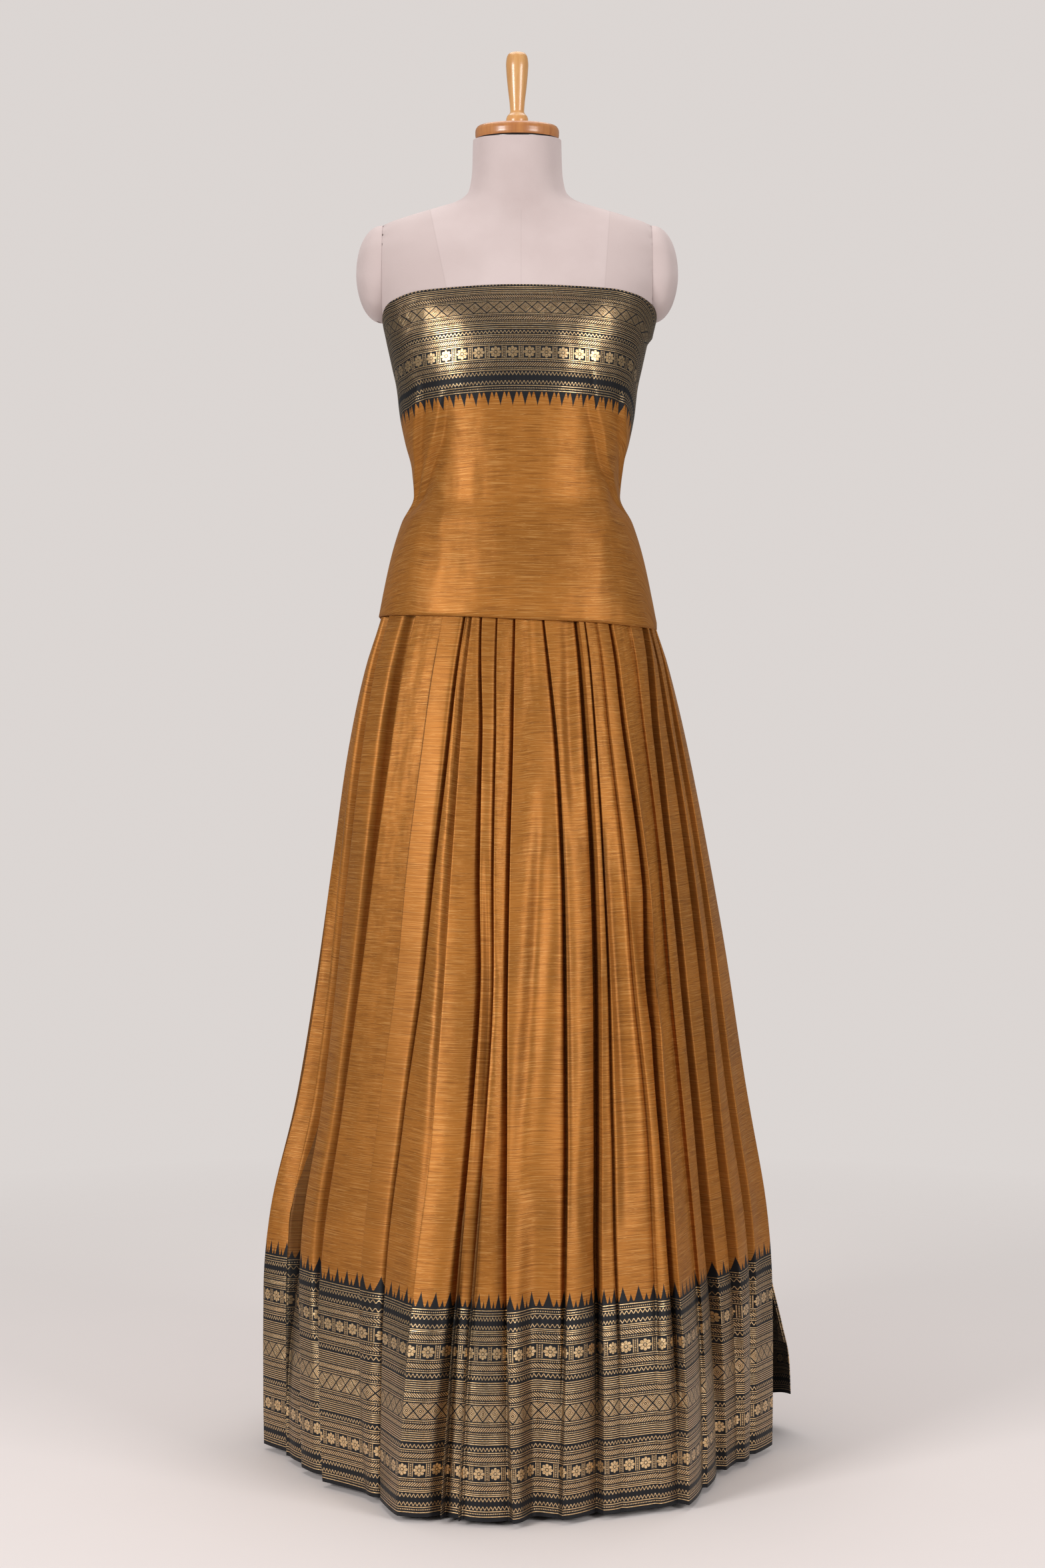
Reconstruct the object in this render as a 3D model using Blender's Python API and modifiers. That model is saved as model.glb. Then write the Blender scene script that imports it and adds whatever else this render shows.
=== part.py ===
"""Half saree on a limbless dress form.

A pleated silk skirt hangs from the waist of a padded torso. A second stretch of the cloth is wound
round the torso from the bust to the hip. The torso has a wooden cap and finial, and stands on a
hidden pole and a round base.

Metres, +Z up. The front faces -Y. The origin is under the middle of the base, on the floor. Angles
are in degrees from the front, and grow towards +X.
"""

import math

import bmesh
import bpy
import numpy as np

# Driving dimensions

CLOTH = 0.0015
SEAM_GAP = 0.0003

BASE_RADIUS = 0.170
BASE_HEIGHT = 0.012
POLE_RADIUS = 0.016
TORSO_BOTTOM = 0.800
NECK_TOP = 1.472

SHOULDER_PLANE = 0.150
SHOULDER_CENTRE = 1.317
SHOULDER_OUT = 0.031
SHOULDER_DEEP = 0.045
SHOULDER_TALL = 0.058

SECTION_SQUARENESS = 2.4
COLUMN_STEP = 6.0

# How finely the plain shapes are made

BASE_SIDES = 64
POLE_SIDES = 32
BALL_COLUMNS = 24
BALL_ROWS = 14
TURNED_STEPS = 32
MERGE_DISTANCE = 0.00005
SHARP_ANGLE = 50.0
MITRE_LIMIT = 0.25

# Padded torso and neck: true sizes at each height

BODY_COLUMNS = ("height", "half_width", "front", "back")
TORSO_SECTIONS = [
    (TORSO_BOTTOM, 0.104, 0.070, 0.078),
    (0.806, 0.126, 0.086, 0.096),
    (0.825, 0.137, 0.095, 0.106),
    (0.870, 0.142, 0.101, 0.112),
    (0.935, 0.139, 0.100, 0.108),
    (1.000, 0.127, 0.094, 0.095),
    (1.040, 0.1150, 0.0880, 0.0860),
    (1.070, 0.1085, 0.0840, 0.0800),
    (1.100, 0.1130, 0.0860, 0.0815),
    (1.130, 0.1225, 0.0930, 0.0860),
    (1.160, 0.1290, 0.1020, 0.0915),
    (1.190, 0.1325, 0.1100, 0.0965),
    (1.215, 0.1385, 0.1140, 0.1000),
    (1.240, 0.1440, 0.1145, 0.1020),
    (1.260, 0.1480, 0.1110, 0.1030),
    (1.285, 0.1570, 0.1030, 0.1020),
    (1.315, 0.1630, 0.0880, 0.0970),
    (1.345, 0.1630, 0.0730, 0.0850),
    (1.362, 0.1600, 0.0620, 0.0730),
    (1.374, 0.1500, 0.0530, 0.0620),
    (1.384, 0.1230, 0.0480, 0.0560),
    (1.393, 0.0920, 0.0470, 0.0530),
    (1.401, 0.0660, 0.0480, 0.0520),
    (1.412, 0.0545, 0.0490, 0.0500),
    (1.435, 0.0505, 0.0485, 0.0485),
    (NECK_TOP, 0.0495, 0.0480, 0.0480),
]

# Wound cloth: true outer sizes at each height

WRAP_SECTIONS = [
    (0.928, 0.1565, 0.1325, 0.1335),
    (0.935, 0.1560, 0.1315, 0.1325),
    (1.000, 0.1420, 0.1220, 0.1170),
    (1.040, 0.1300, 0.1130, 0.1020),
    (1.070, 0.1160, 0.1060, 0.0890),
    (1.100, 0.1180, 0.1060, 0.0870),
    (1.130, 0.1255, 0.1080, 0.0900),
    (1.160, 0.1315, 0.1110, 0.0945),
    (1.190, 0.1350, 0.1145, 0.0990),
    (1.215, 0.1404, 0.1165, 0.1022),
    (1.240, 0.1459, 0.1166, 0.1041),
    (1.260, 0.1504, 0.1140, 0.1058),
    (1.285, 0.1590, 0.1058, 0.1048),
    (1.315, 0.1650, 0.0910, 0.1000),
]
WRAP_TOP_COLUMNS = ("angle", "height")
WRAP_TOP_EDGE = [
    (-180, 1.278),
    (-125, 1.268),
    (-105, 1.253),
    (-80, 1.253),
    (-66, 1.270),
    (-50, 1.287),
    (0, 1.296),
    (50, 1.288),
    (66, 1.274),
    (80, 1.253),
    (105, 1.253),
    (125, 1.268),
    (180, 1.278),
    (235, 1.268),
    (255, 1.253),
    (270, 1.253),
]
WRAP_LEVEL_BELOW = 1.245
WRAP_TOP_ROWS = (0.35, 0.68, 1.0)
WRAP_SIDE_SEAM = 96.0

# Soft tucks of the wound cloth, each from its upper end down to where it is drawn in at the waist

TUCK_COLUMNS = ("top", "bottom", "top_angle", "bottom_angle", "depth", "width")
WRAP_TUCKS = [
    (1.205, 1.040, -56, -80, 0.0022, 9),
    (1.190, 1.040, 50, 78, 0.0022, 9),
    (1.060, 0.960, -44, -38, 0.0030, 10),
    (1.060, 0.960, 52, 44, 0.0030, 10),
    (1.180, 1.050, 215, 235, 0.0020, 9),
    (1.180, 1.050, 145, 128, 0.0020, 9),
]

# Skirt: true outer sizes at each height, with its pleats' usual depth and how far they lean over

SKIRT_COLUMNS = ("height", "half_width", "front", "back", "shift", "depth", "lean", "spread")
SKIRT_SECTIONS = [
    (0.006, 0.2865, 0.2930, 0.2900, 0.000, 0.0180, -0.004, 1.00),
    (0.060, 0.2872, 0.2915, 0.2895, 0.000, 0.0178, -0.004, 1.00),
    (0.115, 0.2868, 0.2890, 0.2875, 0.000, 0.0172, -0.003, 1.00),
    (0.180, 0.2835, 0.2830, 0.2825, 0.000, 0.0165, -0.002, 0.97),
    (0.260, 0.2730, 0.2720, 0.2720, 0.001, 0.0150, -0.001, 0.92),
    (0.400, 0.2525, 0.2480, 0.2480, 0.005, 0.0130, 0.001, 0.80),
    (0.540, 0.2315, 0.2210, 0.2230, 0.006, 0.0115, 0.002, 0.65),
    (0.670, 0.2110, 0.1970, 0.2010, 0.004, 0.0100, 0.003, 0.45),
    (0.790, 0.1905, 0.1710, 0.1750, 0.001, 0.0085, 0.003, 0.25),
    (0.880, 0.1700, 0.1470, 0.1500, 0.000, 0.0065, 0.003, 0.10),
    (0.935, 0.1525, 0.1280, 0.1290, 0.000, 0.0045, 0.002, 0.00),
    (1.000, 0.1385, 0.1070, 0.1080, 0.000, 0.0025, 0.000, 0.00),
    (1.070, 0.1105, 0.0860, 0.0820, 0.000, 0.0000, -0.002, 0.00),
    (1.100, 0.1150, 0.0880, 0.0835, 0.000, 0.0000, -0.002, 0.00),
]

# Pleats of the front stretch, from left to right: where each outer fold lies at the wound cloth's
# edge, half way down and at the hem, its radius and depth at the hem, and its share of the depth

FRONT_PLEAT_COLUMNS = ("top", "middle", "hem", "hem_radius", "hem_depth", "share")
FRONT_PLEATS = [
    (-74, -73, -80, 0.264, 0.008, 0.8),
    (-62, -60, -66, 0.255, 0.007, 0.7),
    (-52, -53, -54, 0.261, 0.012, 1.2),
    (-43, -37, -37, 0.253, 0.006, 0.5),
    (-35, -27, -25, 0.299, 0.040, 1.2),
    (-19, -10, -12, 0.296, 0.015, 1.1),
    (-4, -3, 0, 0.296, 0.010, 0.9),
    (14, 13, 10, 0.289, 0.018, 1.2),
    (24, 21, 18, 0.284, 0.007, 0.6),
    (31, 27, 26, 0.282, 0.010, 0.9),
    (47, 44, 37, 0.293, 0.012, 1.3),
    (57, 52, 51, 0.262, 0.008, 0.6),
    (67, 60, 64, 0.251, 0.010, 0.9),
    (76, 71, 73, 0.258, 0.007, 0.7),
    (84, 80, 82, 0.268, 0.007, 0.6),
]
FRONT_EDGE = {"top": 93.0, "middle": 91.5, "hem": 90.5, "hem_radius": 0.2860}
PLEAT_HEIGHTS = {"hem": 0.006, "middle": 0.580, "top": 0.930}

# Pleats of the back stretch, worked out between its free end and the left side

BACK_PLEAT_COUNT = 13
BACK_FIRST_PLEAT = {"top": 107.0, "middle": 107.0, "hem": 116.0}
BACK_LAST_PLEAT = 257.0

# How unevenly those pleats lie: the most that each is out by, and the turn from one to the next

UNEVEN_ANGLE = {"most": 2.4, "turn": 2.2}
UNEVEN_DEPTH = {"most": 0.35, "turn": 1.7}
UNEVEN_RADIUS = {"most": 0.004, "turn": 2.9}

# The free end of the back stretch lies inside the front stretch's edge, and swings out at the hem

END_COLUMNS = ("height", "angle", "offset")
BACK_END = [
    (0.006, 105.0, 0.0340),
    (0.060, 103.5, 0.0290),
    (0.115, 101.5, 0.0190),
    (0.180, 99.0, 0.0080),
    (0.260, 95.0, -0.0040),
    (0.400, 88.0, -0.0110),
    (0.880, 88.0, -0.0100),
    (0.935, 92.0, -0.0070),
    (1.000, 96.0, -0.0020),
    (1.070, 97.0, 0.0000),
    (1.100, 97.0, 0.0000),
]
BACK_END_RELEASE = 128.0
HEM_LIFT = 0.036
HEM_LIFT_BELOW = 0.180

FACE_STEPS = (0.0, 0.35, 0.72)
FACE_CURVE = 1.5

# Turned corner of the free end: height, and width of what is turned over

FOLD_COLUMNS = ("height", "width")
EDGE_FOLD = [(0.080, 0.0140), (0.115, 0.0095), (0.180, 0.0020)]

# Turned wood: radius and height down the outer side

FINIAL_PROFILE = [
    (0.0000, 1.5700),
    (0.0060, 1.5690),
    (0.0105, 1.5650),
    (0.0126, 1.5570),
    (0.0130, 1.5460),
    (0.0120, 1.5320),
    (0.0099, 1.5180),
    (0.0084, 1.5080),
    (0.0090, 1.5030),
    (0.0108, 1.4990),
    (0.0112, 1.4950),
    (0.0100, 1.4898),
    (0.0000, 1.4898),
]
CAP_PROFILE = [
    (0.0000, 1.4895),
    (0.0400, 1.4895),
    (0.0445, 1.4875),
    (0.0465, 1.4820),
    (0.0460, 1.4760),
    (0.0435, 1.4723),
    (0.0000, 1.4723),
]


def read_table(columns, rows):
    """A table as one array for each column's name, with its rows in order of the first column."""
    return dict(zip(columns, np.array(sorted(rows), dtype=float).T))


TORSO = read_table(BODY_COLUMNS, TORSO_SECTIONS)
WRAP = read_table(BODY_COLUMNS, WRAP_SECTIONS)
WRAP_TOP = read_table(WRAP_TOP_COLUMNS, WRAP_TOP_EDGE)
SKIRT = read_table(SKIRT_COLUMNS, SKIRT_SECTIONS)
BACK_ENDS = read_table(END_COLUMNS, BACK_END)
FOLD = read_table(FOLD_COLUMNS, EDGE_FOLD)


def at(table, column, where):
    """A column's value, straight between the rows of the table's first column."""
    first = next(iter(table))
    return float(np.interp(where, table[first], table[column]))


def smooth(share):
    """0 below 0 and 1 above 1, with soft ends between."""
    share = min(max(share, 0.0), 1.0)
    return share * share * (3 - 2 * share)


def reach(table, height, angle):
    """How far a section's outline lies from its axis at an angle."""
    side = math.sin(math.radians(angle))
    ahead = math.cos(math.radians(angle))
    depth = at(table, "front" if ahead > 0 else "back", height)
    width_term = abs(side) / at(table, "half_width", height)
    depth_term = abs(ahead) / depth
    total = width_term**SECTION_SQUARENESS + depth_term**SECTION_SQUARENESS
    return total ** (-1 / SECTION_SQUARENESS)


def plan(radius, angle, shift=0.0):
    """The plan point at a radius and an angle from the front."""
    turn = math.radians(angle)
    return np.array([shift + radius * math.sin(turn), -radius * math.cos(turn)])


# Meshes


def make_object(name, points, faces, material):
    mesh = bpy.data.meshes.new(name)
    mesh.from_pydata([tuple(map(float, p)) for p in points], [], faces)
    mesh.materials.append(material)
    mesh.shade_smooth()
    mesh.set_sharp_from_angle(angle=math.radians(SHARP_ANGLE))
    part = bpy.data.objects.new(name, mesh)
    PARTS.objects.link(part)
    return part


def make_material(name, colour, roughness, metallic=0.0):
    material = bpy.data.materials.new(name)
    material.use_nodes = True
    shader = material.node_tree.nodes["Principled BSDF"]
    shader.inputs["Base Color"].default_value = (*colour, 1)
    shader.inputs["Roughness"].default_value = roughness
    shader.inputs["Metallic"].default_value = metallic
    return material


def moved_in(row, distance):
    """An open row of plan points, moved square to itself towards the axis."""
    steps = np.diff(row, axis=0)
    sides = np.column_stack([-steps[:, 1], steps[:, 0]])
    sides /= np.linalg.norm(sides, axis=1)[:, None]
    before = np.vstack([sides[:1], sides])
    after = np.vstack([sides, sides[-1:]])
    corner = 1 + (before * after).sum(axis=1)
    corner = np.maximum(corner, MITRE_LIMIT)
    return row + distance * (before + after) / corner[:, None]


def make_wall(name, rows, heights, material, thickness=CLOTH):
    """A closed cloth wall from rows of outer plan points, lowest first, and the points' heights."""
    rows = np.array(rows)
    inside = np.array([moved_in(row, thickness) for row in rows])
    tall, wide = rows.shape[:2]
    points = [(*rows[i, j], heights[i][j]) for i in range(tall) for j in range(wide)]
    points += [(*inside[i, j], heights[i][j]) for i in range(tall) for j in range(wide)]

    def outer(i, j):
        return i * wide + j

    def inner(i, j):
        return tall * wide + i * wide + j

    faces = []
    for i in range(tall - 1):
        for j in range(wide - 1):
            faces.append((outer(i, j), outer(i, j + 1), outer(i + 1, j + 1), outer(i + 1, j)))
            faces.append((inner(i, j), inner(i + 1, j), inner(i + 1, j + 1), inner(i, j + 1)))
        last = wide - 1
        faces.append((outer(i, 0), outer(i + 1, 0), inner(i + 1, 0), inner(i, 0)))
        faces.append((outer(i, last), inner(i, last), inner(i + 1, last), outer(i + 1, last)))
    top = tall - 1
    for j in range(wide - 1):
        faces.append((outer(0, j), inner(0, j), inner(0, j + 1), outer(0, j + 1)))
        faces.append((outer(top, j), outer(top, j + 1), inner(top, j + 1), inner(top, j)))
    return make_object(name, points, faces, material)


def make_loft(name, rings, heights, material):
    """A closed solid through closed rings of plan points, lowest first."""
    count = len(rings[0])
    points = [(*p, height) for ring, height in zip(rings, heights) for p in ring]
    faces = []
    for i in range(len(rings) - 1):
        for j in range(count):
            after = (j + 1) % count
            low, high = i * count, (i + 1) * count
            faces.append((low + j, low + after, high + after, high + j))
    faces.append(tuple(reversed(range(count))))
    faces.append(tuple(range((len(rings) - 1) * count, len(rings) * count)))
    return make_object(name, points, faces, material)


def make_turned(name, profile, material):
    """A turned piece from a profile of radii and heights, run down its outer side."""
    points = [(radius, 0, height) for radius, height in profile]
    edges = [(i, i + 1) for i in range(len(profile) - 1)]
    mesh = bpy.data.meshes.new(name)
    mesh.from_pydata(points, edges, [])
    mesh.materials.append(material)
    part = bpy.data.objects.new(name, mesh)
    PARTS.objects.link(part)
    turning = part.modifiers.new("turned", "SCREW")
    turning.steps = TURNED_STEPS
    turning.render_steps = TURNED_STEPS
    turning.use_merge_vertices = True
    turning.merge_threshold = MERGE_DISTANCE
    turning.use_smooth_shade = True
    return part


def make_cylinder(name, radius, low, high, sides, material):
    mesh = bpy.data.meshes.new(name)
    shape = bmesh.new()
    bmesh.ops.create_cone(
        shape,
        cap_ends=True,
        segments=sides,
        radius1=radius,
        radius2=radius,
        depth=high - low,
    )
    bmesh.ops.translate(shape, vec=(0, 0, (low + high) / 2), verts=shape.verts)
    shape.to_mesh(mesh)
    shape.free()
    mesh.materials.append(material)
    mesh.shade_smooth()
    mesh.set_sharp_from_angle(angle=math.radians(SHARP_ANGLE))
    part = bpy.data.objects.new(name, mesh)
    PARTS.objects.link(part)
    return part


# Dress form


def make_torso(material):
    """The padded torso and neck, cut flat where the shoulder ends sit."""
    rings = []
    for height in TORSO["height"]:
        ring = []
        for angle in np.arange(0, 360, COLUMN_STEP):
            point = plan(reach(TORSO, height, angle), angle)
            point[0] = np.clip(point[0], -SHOULDER_PLANE, SHOULDER_PLANE)
            ring.append(point)
        rings.append(ring)
    return make_loft("form_torso", rings, TORSO["height"], material)


def make_shoulder(name, side, material):
    """Half of a rounded ball, flat where it meets the torso. side is -1 for left and 1 for right."""
    mesh = bpy.data.meshes.new(name)
    shape = bmesh.new()
    bmesh.ops.create_uvsphere(shape, u_segments=BALL_COLUMNS, v_segments=BALL_ROWS, radius=1.0)
    bmesh.ops.scale(shape, vec=(SHOULDER_OUT, SHOULDER_DEEP, SHOULDER_TALL), verts=shape.verts)
    bmesh.ops.bisect_plane(
        shape,
        geom=[*shape.verts, *shape.edges, *shape.faces],
        dist=MERGE_DISTANCE,
        plane_co=(0, 0, 0),
        plane_no=(side, 0, 0),
        clear_inner=True,
    )
    rim = [edge for edge in shape.edges if edge.is_boundary]
    bmesh.ops.contextual_create(shape, geom=rim)
    place = (side * (SHOULDER_PLANE + SEAM_GAP), 0, SHOULDER_CENTRE)
    bmesh.ops.translate(shape, vec=place, verts=shape.verts)
    bmesh.ops.recalc_face_normals(shape, faces=shape.faces)
    shape.to_mesh(mesh)
    shape.free()
    mesh.materials.append(material)
    mesh.shade_smooth()
    mesh.set_sharp_from_angle(angle=math.radians(SHARP_ANGLE))
    part = bpy.data.objects.new(name, mesh)
    PARTS.objects.link(part)
    return part


# Wound cloth


def tuck_depth(height, angle):
    """How far the wound cloth is drawn in by its tucks at a place."""
    total = 0.0
    for row in WRAP_TUCKS:
        tuck = dict(zip(TUCK_COLUMNS, row))
        share = (tuck["top"] - height) / (tuck["top"] - tuck["bottom"])
        if 0 < share < 1:
            middle = tuck["top_angle"] + share * (tuck["bottom_angle"] - tuck["top_angle"])
            across = (angle - middle) / tuck["width"]
            total += tuck["depth"] * math.sin(math.pi * share) * math.exp(-across * across)
    return total


def make_wrap(name, first, last, material):
    """The wound cloth between two angles."""
    angles = [first, *np.arange(math.ceil((first + 1) / COLUMN_STEP), last / COLUMN_STEP) * COLUMN_STEP]
    angles = [a for a in angles if a < last - 1] + [last]
    level = [h for h in WRAP["height"] if h < WRAP_LEVEL_BELOW]
    rows, heights = [], []
    for step in range(len(level) + len(WRAP_TOP_ROWS)):
        row, tall = [], []
        for angle in angles:
            if step < len(level):
                height = level[step]
            else:
                share = WRAP_TOP_ROWS[step - len(level)]
                height = level[-1] + share * (at(WRAP_TOP, "height", angle) - level[-1])
            radius = reach(WRAP, height, angle) - tuck_depth(height, angle)
            row.append(plan(radius, angle))
            tall.append(height)
        rows.append(row)
        heights.append(tall)
    return make_wall(name, rows, heights, material)


# Skirt


def between_heights(pleat, height):
    """A pleat's angle at a height, from its angles at the hem, half way and at the top."""
    places = sorted(PLEAT_HEIGHTS.items(), key=lambda item: item[1])
    levels = [level for _, level in places]
    return float(np.interp(height, levels, [pleat[column] for column, _ in places]))


def free_end(height):
    """The angle of the back stretch's free end at a height."""
    return at(BACK_ENDS, "angle", height)


def swing(height, angle):
    """How far the back stretch lies out of the usual outline near its free end."""
    share = (BACK_END_RELEASE - angle) / (BACK_END_RELEASE - free_end(height))
    return at(BACK_ENDS, "offset", height) * smooth(share)


def uneven(rule, number):
    """How far out a pleat is by a rule, so that no two neighbours are alike."""
    return rule["most"] * math.sin(rule["turn"] * number)


def skirt_folds(height):
    """Angle, radius and depth of each outer fold, in order round the skirt from its free end."""
    depth = at(SKIRT, "depth", height)
    spread = at(SKIRT, "spread", height)
    folds = []
    first = between_heights(BACK_FIRST_PLEAT, height)
    for number in range(BACK_PLEAT_COUNT):
        share = number / (BACK_PLEAT_COUNT - 1)
        angle = first + share * (BACK_LAST_PLEAT - first) + uneven(UNEVEN_ANGLE, number)
        radius = reach(SKIRT, height, angle) + swing(height, angle)
        radius += spread * uneven(UNEVEN_RADIUS, number)
        folds.append((angle, radius, depth * (1 + uneven(UNEVEN_DEPTH, number))))
    for row in FRONT_PLEATS:
        pleat = dict(zip(FRONT_PLEAT_COLUMNS, row))
        angle = between_heights(pleat, height)
        usual = reach(SKIRT, height, angle)
        at_hem = pleat["hem_radius"] / reach(SKIRT, PLEAT_HEIGHTS["hem"], pleat["hem"])
        radius = usual * (1 + spread * (at_hem - 1))
        deep = (1 - spread**2) * depth * pleat["share"] + spread**2 * pleat["hem_depth"]
        folds.append((angle + 360, radius, deep))
    return folds


def skirt_faces(height):
    """Each pleat's face at a height, as plan points from its outer fold to the valley under the next."""
    shift = at(SKIRT, "shift", height)
    lean = at(SKIRT, "lean", height)
    spread = at(SKIRT, "spread", height)
    start = free_end(height)
    folds = [(start, reach(SKIRT, height, start) + swing(height, start), 0.0)]
    folds += skirt_folds(height)
    edge = between_heights(FRONT_EDGE, height)
    usual = reach(SKIRT, height, edge)
    at_hem = FRONT_EDGE["hem_radius"] / reach(SKIRT, PLEAT_HEIGHTS["hem"], FRONT_EDGE["hem"])
    folds.append((edge + 360, usual * (1 + spread * (at_hem - 1)), 0.0))
    faces = []
    for here, there in zip(folds[:-1], folds[1:]):
        last_face = there is folds[-1]
        tuck_under = 0.0 if last_face else math.degrees(lean / there[1])
        valley_angle = there[0] + tuck_under
        face = []
        for share in (*FACE_STEPS, 1.0):
            angle = here[0] + share * (valley_angle - here[0])
            radius = here[1] + share * (there[1] - here[1]) - there[2] * share**FACE_CURVE
            usual = (1 - share) * reach(SKIRT, height, here[0]) + share * reach(SKIRT, height, there[0])
            face.append(plan(radius + reach(SKIRT, height, angle) - usual, angle, shift))
        faces.append(face)
    return faces


def split_face(face):
    """The two halves of a face at the skirt's side, a seam's gap apart."""
    middle = len(face) // 2
    along = face[middle + 1] - face[middle]
    apart = along / np.linalg.norm(along) * SEAM_GAP / 2
    cut = (face[middle] + face[middle + 1]) / 2
    return [*face[: middle + 1], cut - apart], [cut + apart, *face[middle + 1 :]]


def skirt_rows():
    """Rows of outer plan points for the back and the front stretch, lowest first."""
    back, front = [], []
    for height in SKIRT["height"]:
        faces = skirt_faces(height)
        left, right = split_face(faces[BACK_PLEAT_COUNT])
        back.append([p for face in faces[:BACK_PLEAT_COUNT] for p in face] + left)
        front.append(right + [p for face in faces[BACK_PLEAT_COUNT + 1 :] for p in face])
    return np.array(back), np.array(front)


def back_heights(rows):
    """The heights of the back stretch's points: its hem is lifted at the free end."""
    heights = []
    for row, height in zip(rows, SKIRT["height"]):
        angles = [math.degrees(math.atan2(x, -y)) % 360 for x, y in row]
        end = free_end(height)
        lift = HEM_LIFT * smooth(1 - (height - SKIRT["height"][0]) / HEM_LIFT_BELOW)
        share = [smooth((BACK_END_RELEASE - a) / (BACK_END_RELEASE - end)) for a in angles]
        heights.append([height + lift * s for s in share])
    return heights


def make_edge_fold(rows_of_back, material):
    """The turned corner of the free end, laid on the back stretch's inner side from its points."""
    laid = np.array([moved_in(row, CLOTH + SEAM_GAP)[:2] for row in rows_of_back])
    rows, heights = [], []
    for height, width in zip(FOLD["height"], FOLD["width"]):
        ends = [
            [np.interp(height, SKIRT["height"], laid[:, point, axis]) for axis in range(2)]
            for point in range(2)
        ]
        edge, beside = np.array(ends)
        along = (beside - edge) / np.linalg.norm(beside - edge)
        rows.append([edge, edge + along * width])
        heights.append([height, height])
    return make_wall("skirt_edge_fold", rows, heights, material)


# The whole part

for old in list(bpy.data.objects):
    bpy.data.objects.remove(old)

PARTS = bpy.data.collections.new("half saree on a dress form")
bpy.context.scene.collection.children.link(PARTS)

silk = make_material("ochre_silk", (0.45, 0.22, 0.06), 0.55)
velvet = make_material("form_cover", (0.62, 0.53, 0.50), 0.9)
wood = make_material("varnished_wood", (0.45, 0.22, 0.10), 0.35)
steel = make_material("stand_steel", (0.35, 0.35, 0.36), 0.4, 1.0)

make_cylinder("form_base", BASE_RADIUS, 0, BASE_HEIGHT, BASE_SIDES, steel)
make_cylinder("form_pole", POLE_RADIUS, BASE_HEIGHT + SEAM_GAP, TORSO_BOTTOM - SEAM_GAP, POLE_SIDES, steel)
make_torso(velvet)
make_shoulder("form_shoulder_left", -1, velvet)
make_shoulder("form_shoulder_right", 1, velvet)
make_turned("form_neck_cap", CAP_PROFILE, wood)
make_turned("form_finial", FINIAL_PROFILE, wood)

seam = math.degrees(SEAM_GAP / 2 / WRAP["half_width"].mean())
make_wrap("wrap_front", -WRAP_SIDE_SEAM + seam, WRAP_SIDE_SEAM - seam, silk)
make_wrap("wrap_back", WRAP_SIDE_SEAM + seam, 360 - WRAP_SIDE_SEAM - seam, silk)

back_rows, front_rows = skirt_rows()
make_wall("skirt_back", back_rows, back_heights(back_rows), silk)
level = [[height] * front_rows.shape[1] for height in SKIRT["height"]]
make_wall("skirt_front", front_rows, level, silk)
make_edge_fold(back_rows, silk)
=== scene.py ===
# %% [markdown]
# # A half saree on a dress form
# The object is a pleated silk skirt and a second stretch of the same cloth, wound round the bust
# and hip of a limbless dress form. A plain solid model of it exists already. Here it gets its fine
# cloth, its woven border, its wood and its light.
# Lengths are in metres. The front faces -Y, and angles are in degrees from the front, towards +X.

# %% Blender and the solid model
import math
from collections import namedtuple

import bmesh
import bpy
import numpy as np
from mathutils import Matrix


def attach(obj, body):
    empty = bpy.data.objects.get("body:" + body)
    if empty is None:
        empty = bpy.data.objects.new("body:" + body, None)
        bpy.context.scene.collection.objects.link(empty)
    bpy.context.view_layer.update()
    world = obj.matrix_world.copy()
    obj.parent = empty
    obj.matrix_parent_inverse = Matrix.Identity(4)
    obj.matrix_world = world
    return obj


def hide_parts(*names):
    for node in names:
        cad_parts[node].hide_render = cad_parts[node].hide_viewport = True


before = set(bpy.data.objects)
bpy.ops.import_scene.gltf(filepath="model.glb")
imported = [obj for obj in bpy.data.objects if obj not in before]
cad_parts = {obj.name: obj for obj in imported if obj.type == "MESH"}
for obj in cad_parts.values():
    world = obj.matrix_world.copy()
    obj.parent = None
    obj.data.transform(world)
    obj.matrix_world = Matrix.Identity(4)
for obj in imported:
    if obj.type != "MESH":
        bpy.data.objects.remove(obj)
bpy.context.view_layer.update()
print("solid model:", ", ".join(sorted(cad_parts)))

# %% [markdown]
# ## Camera
# The photo is upright, 2 wide to 3 high, and was taken with a long lens from waist height, with its
# uprights parallel. So the camera is level, and its lens is shifted down. It is placed before
# anything is made.

# %% Camera
CAMERA_PLACE = (0.006, -3.400, 0.935)
LENS = 69.57
LENS_SHIFT = -0.1063

camera_data = bpy.data.cameras.new("photo_camera")
camera_data.lens = LENS
camera_data.sensor_width = 36.0
camera_data.shift_y = LENS_SHIFT
camera = bpy.data.objects.new("photo_camera", camera_data)
camera.location = CAMERA_PLACE
camera.rotation_euler = (math.radians(90), 0, 0)
bpy.context.scene.collection.objects.link(camera)
bpy.context.scene.camera = camera
bpy.context.scene.view_settings.view_transform = "Standard"
print("camera at", CAMERA_PLACE, "with a lens of", LENS, "mm")

# %% [markdown]
# ## Reading a form from a table
# A maker of patterns keeps sizes in tables: so far up, so wide, so deep. The same tables that gave
# the solids give the fine cloth here. Between two rows a soft curve is read, so no row shows as an
# edge.

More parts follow.
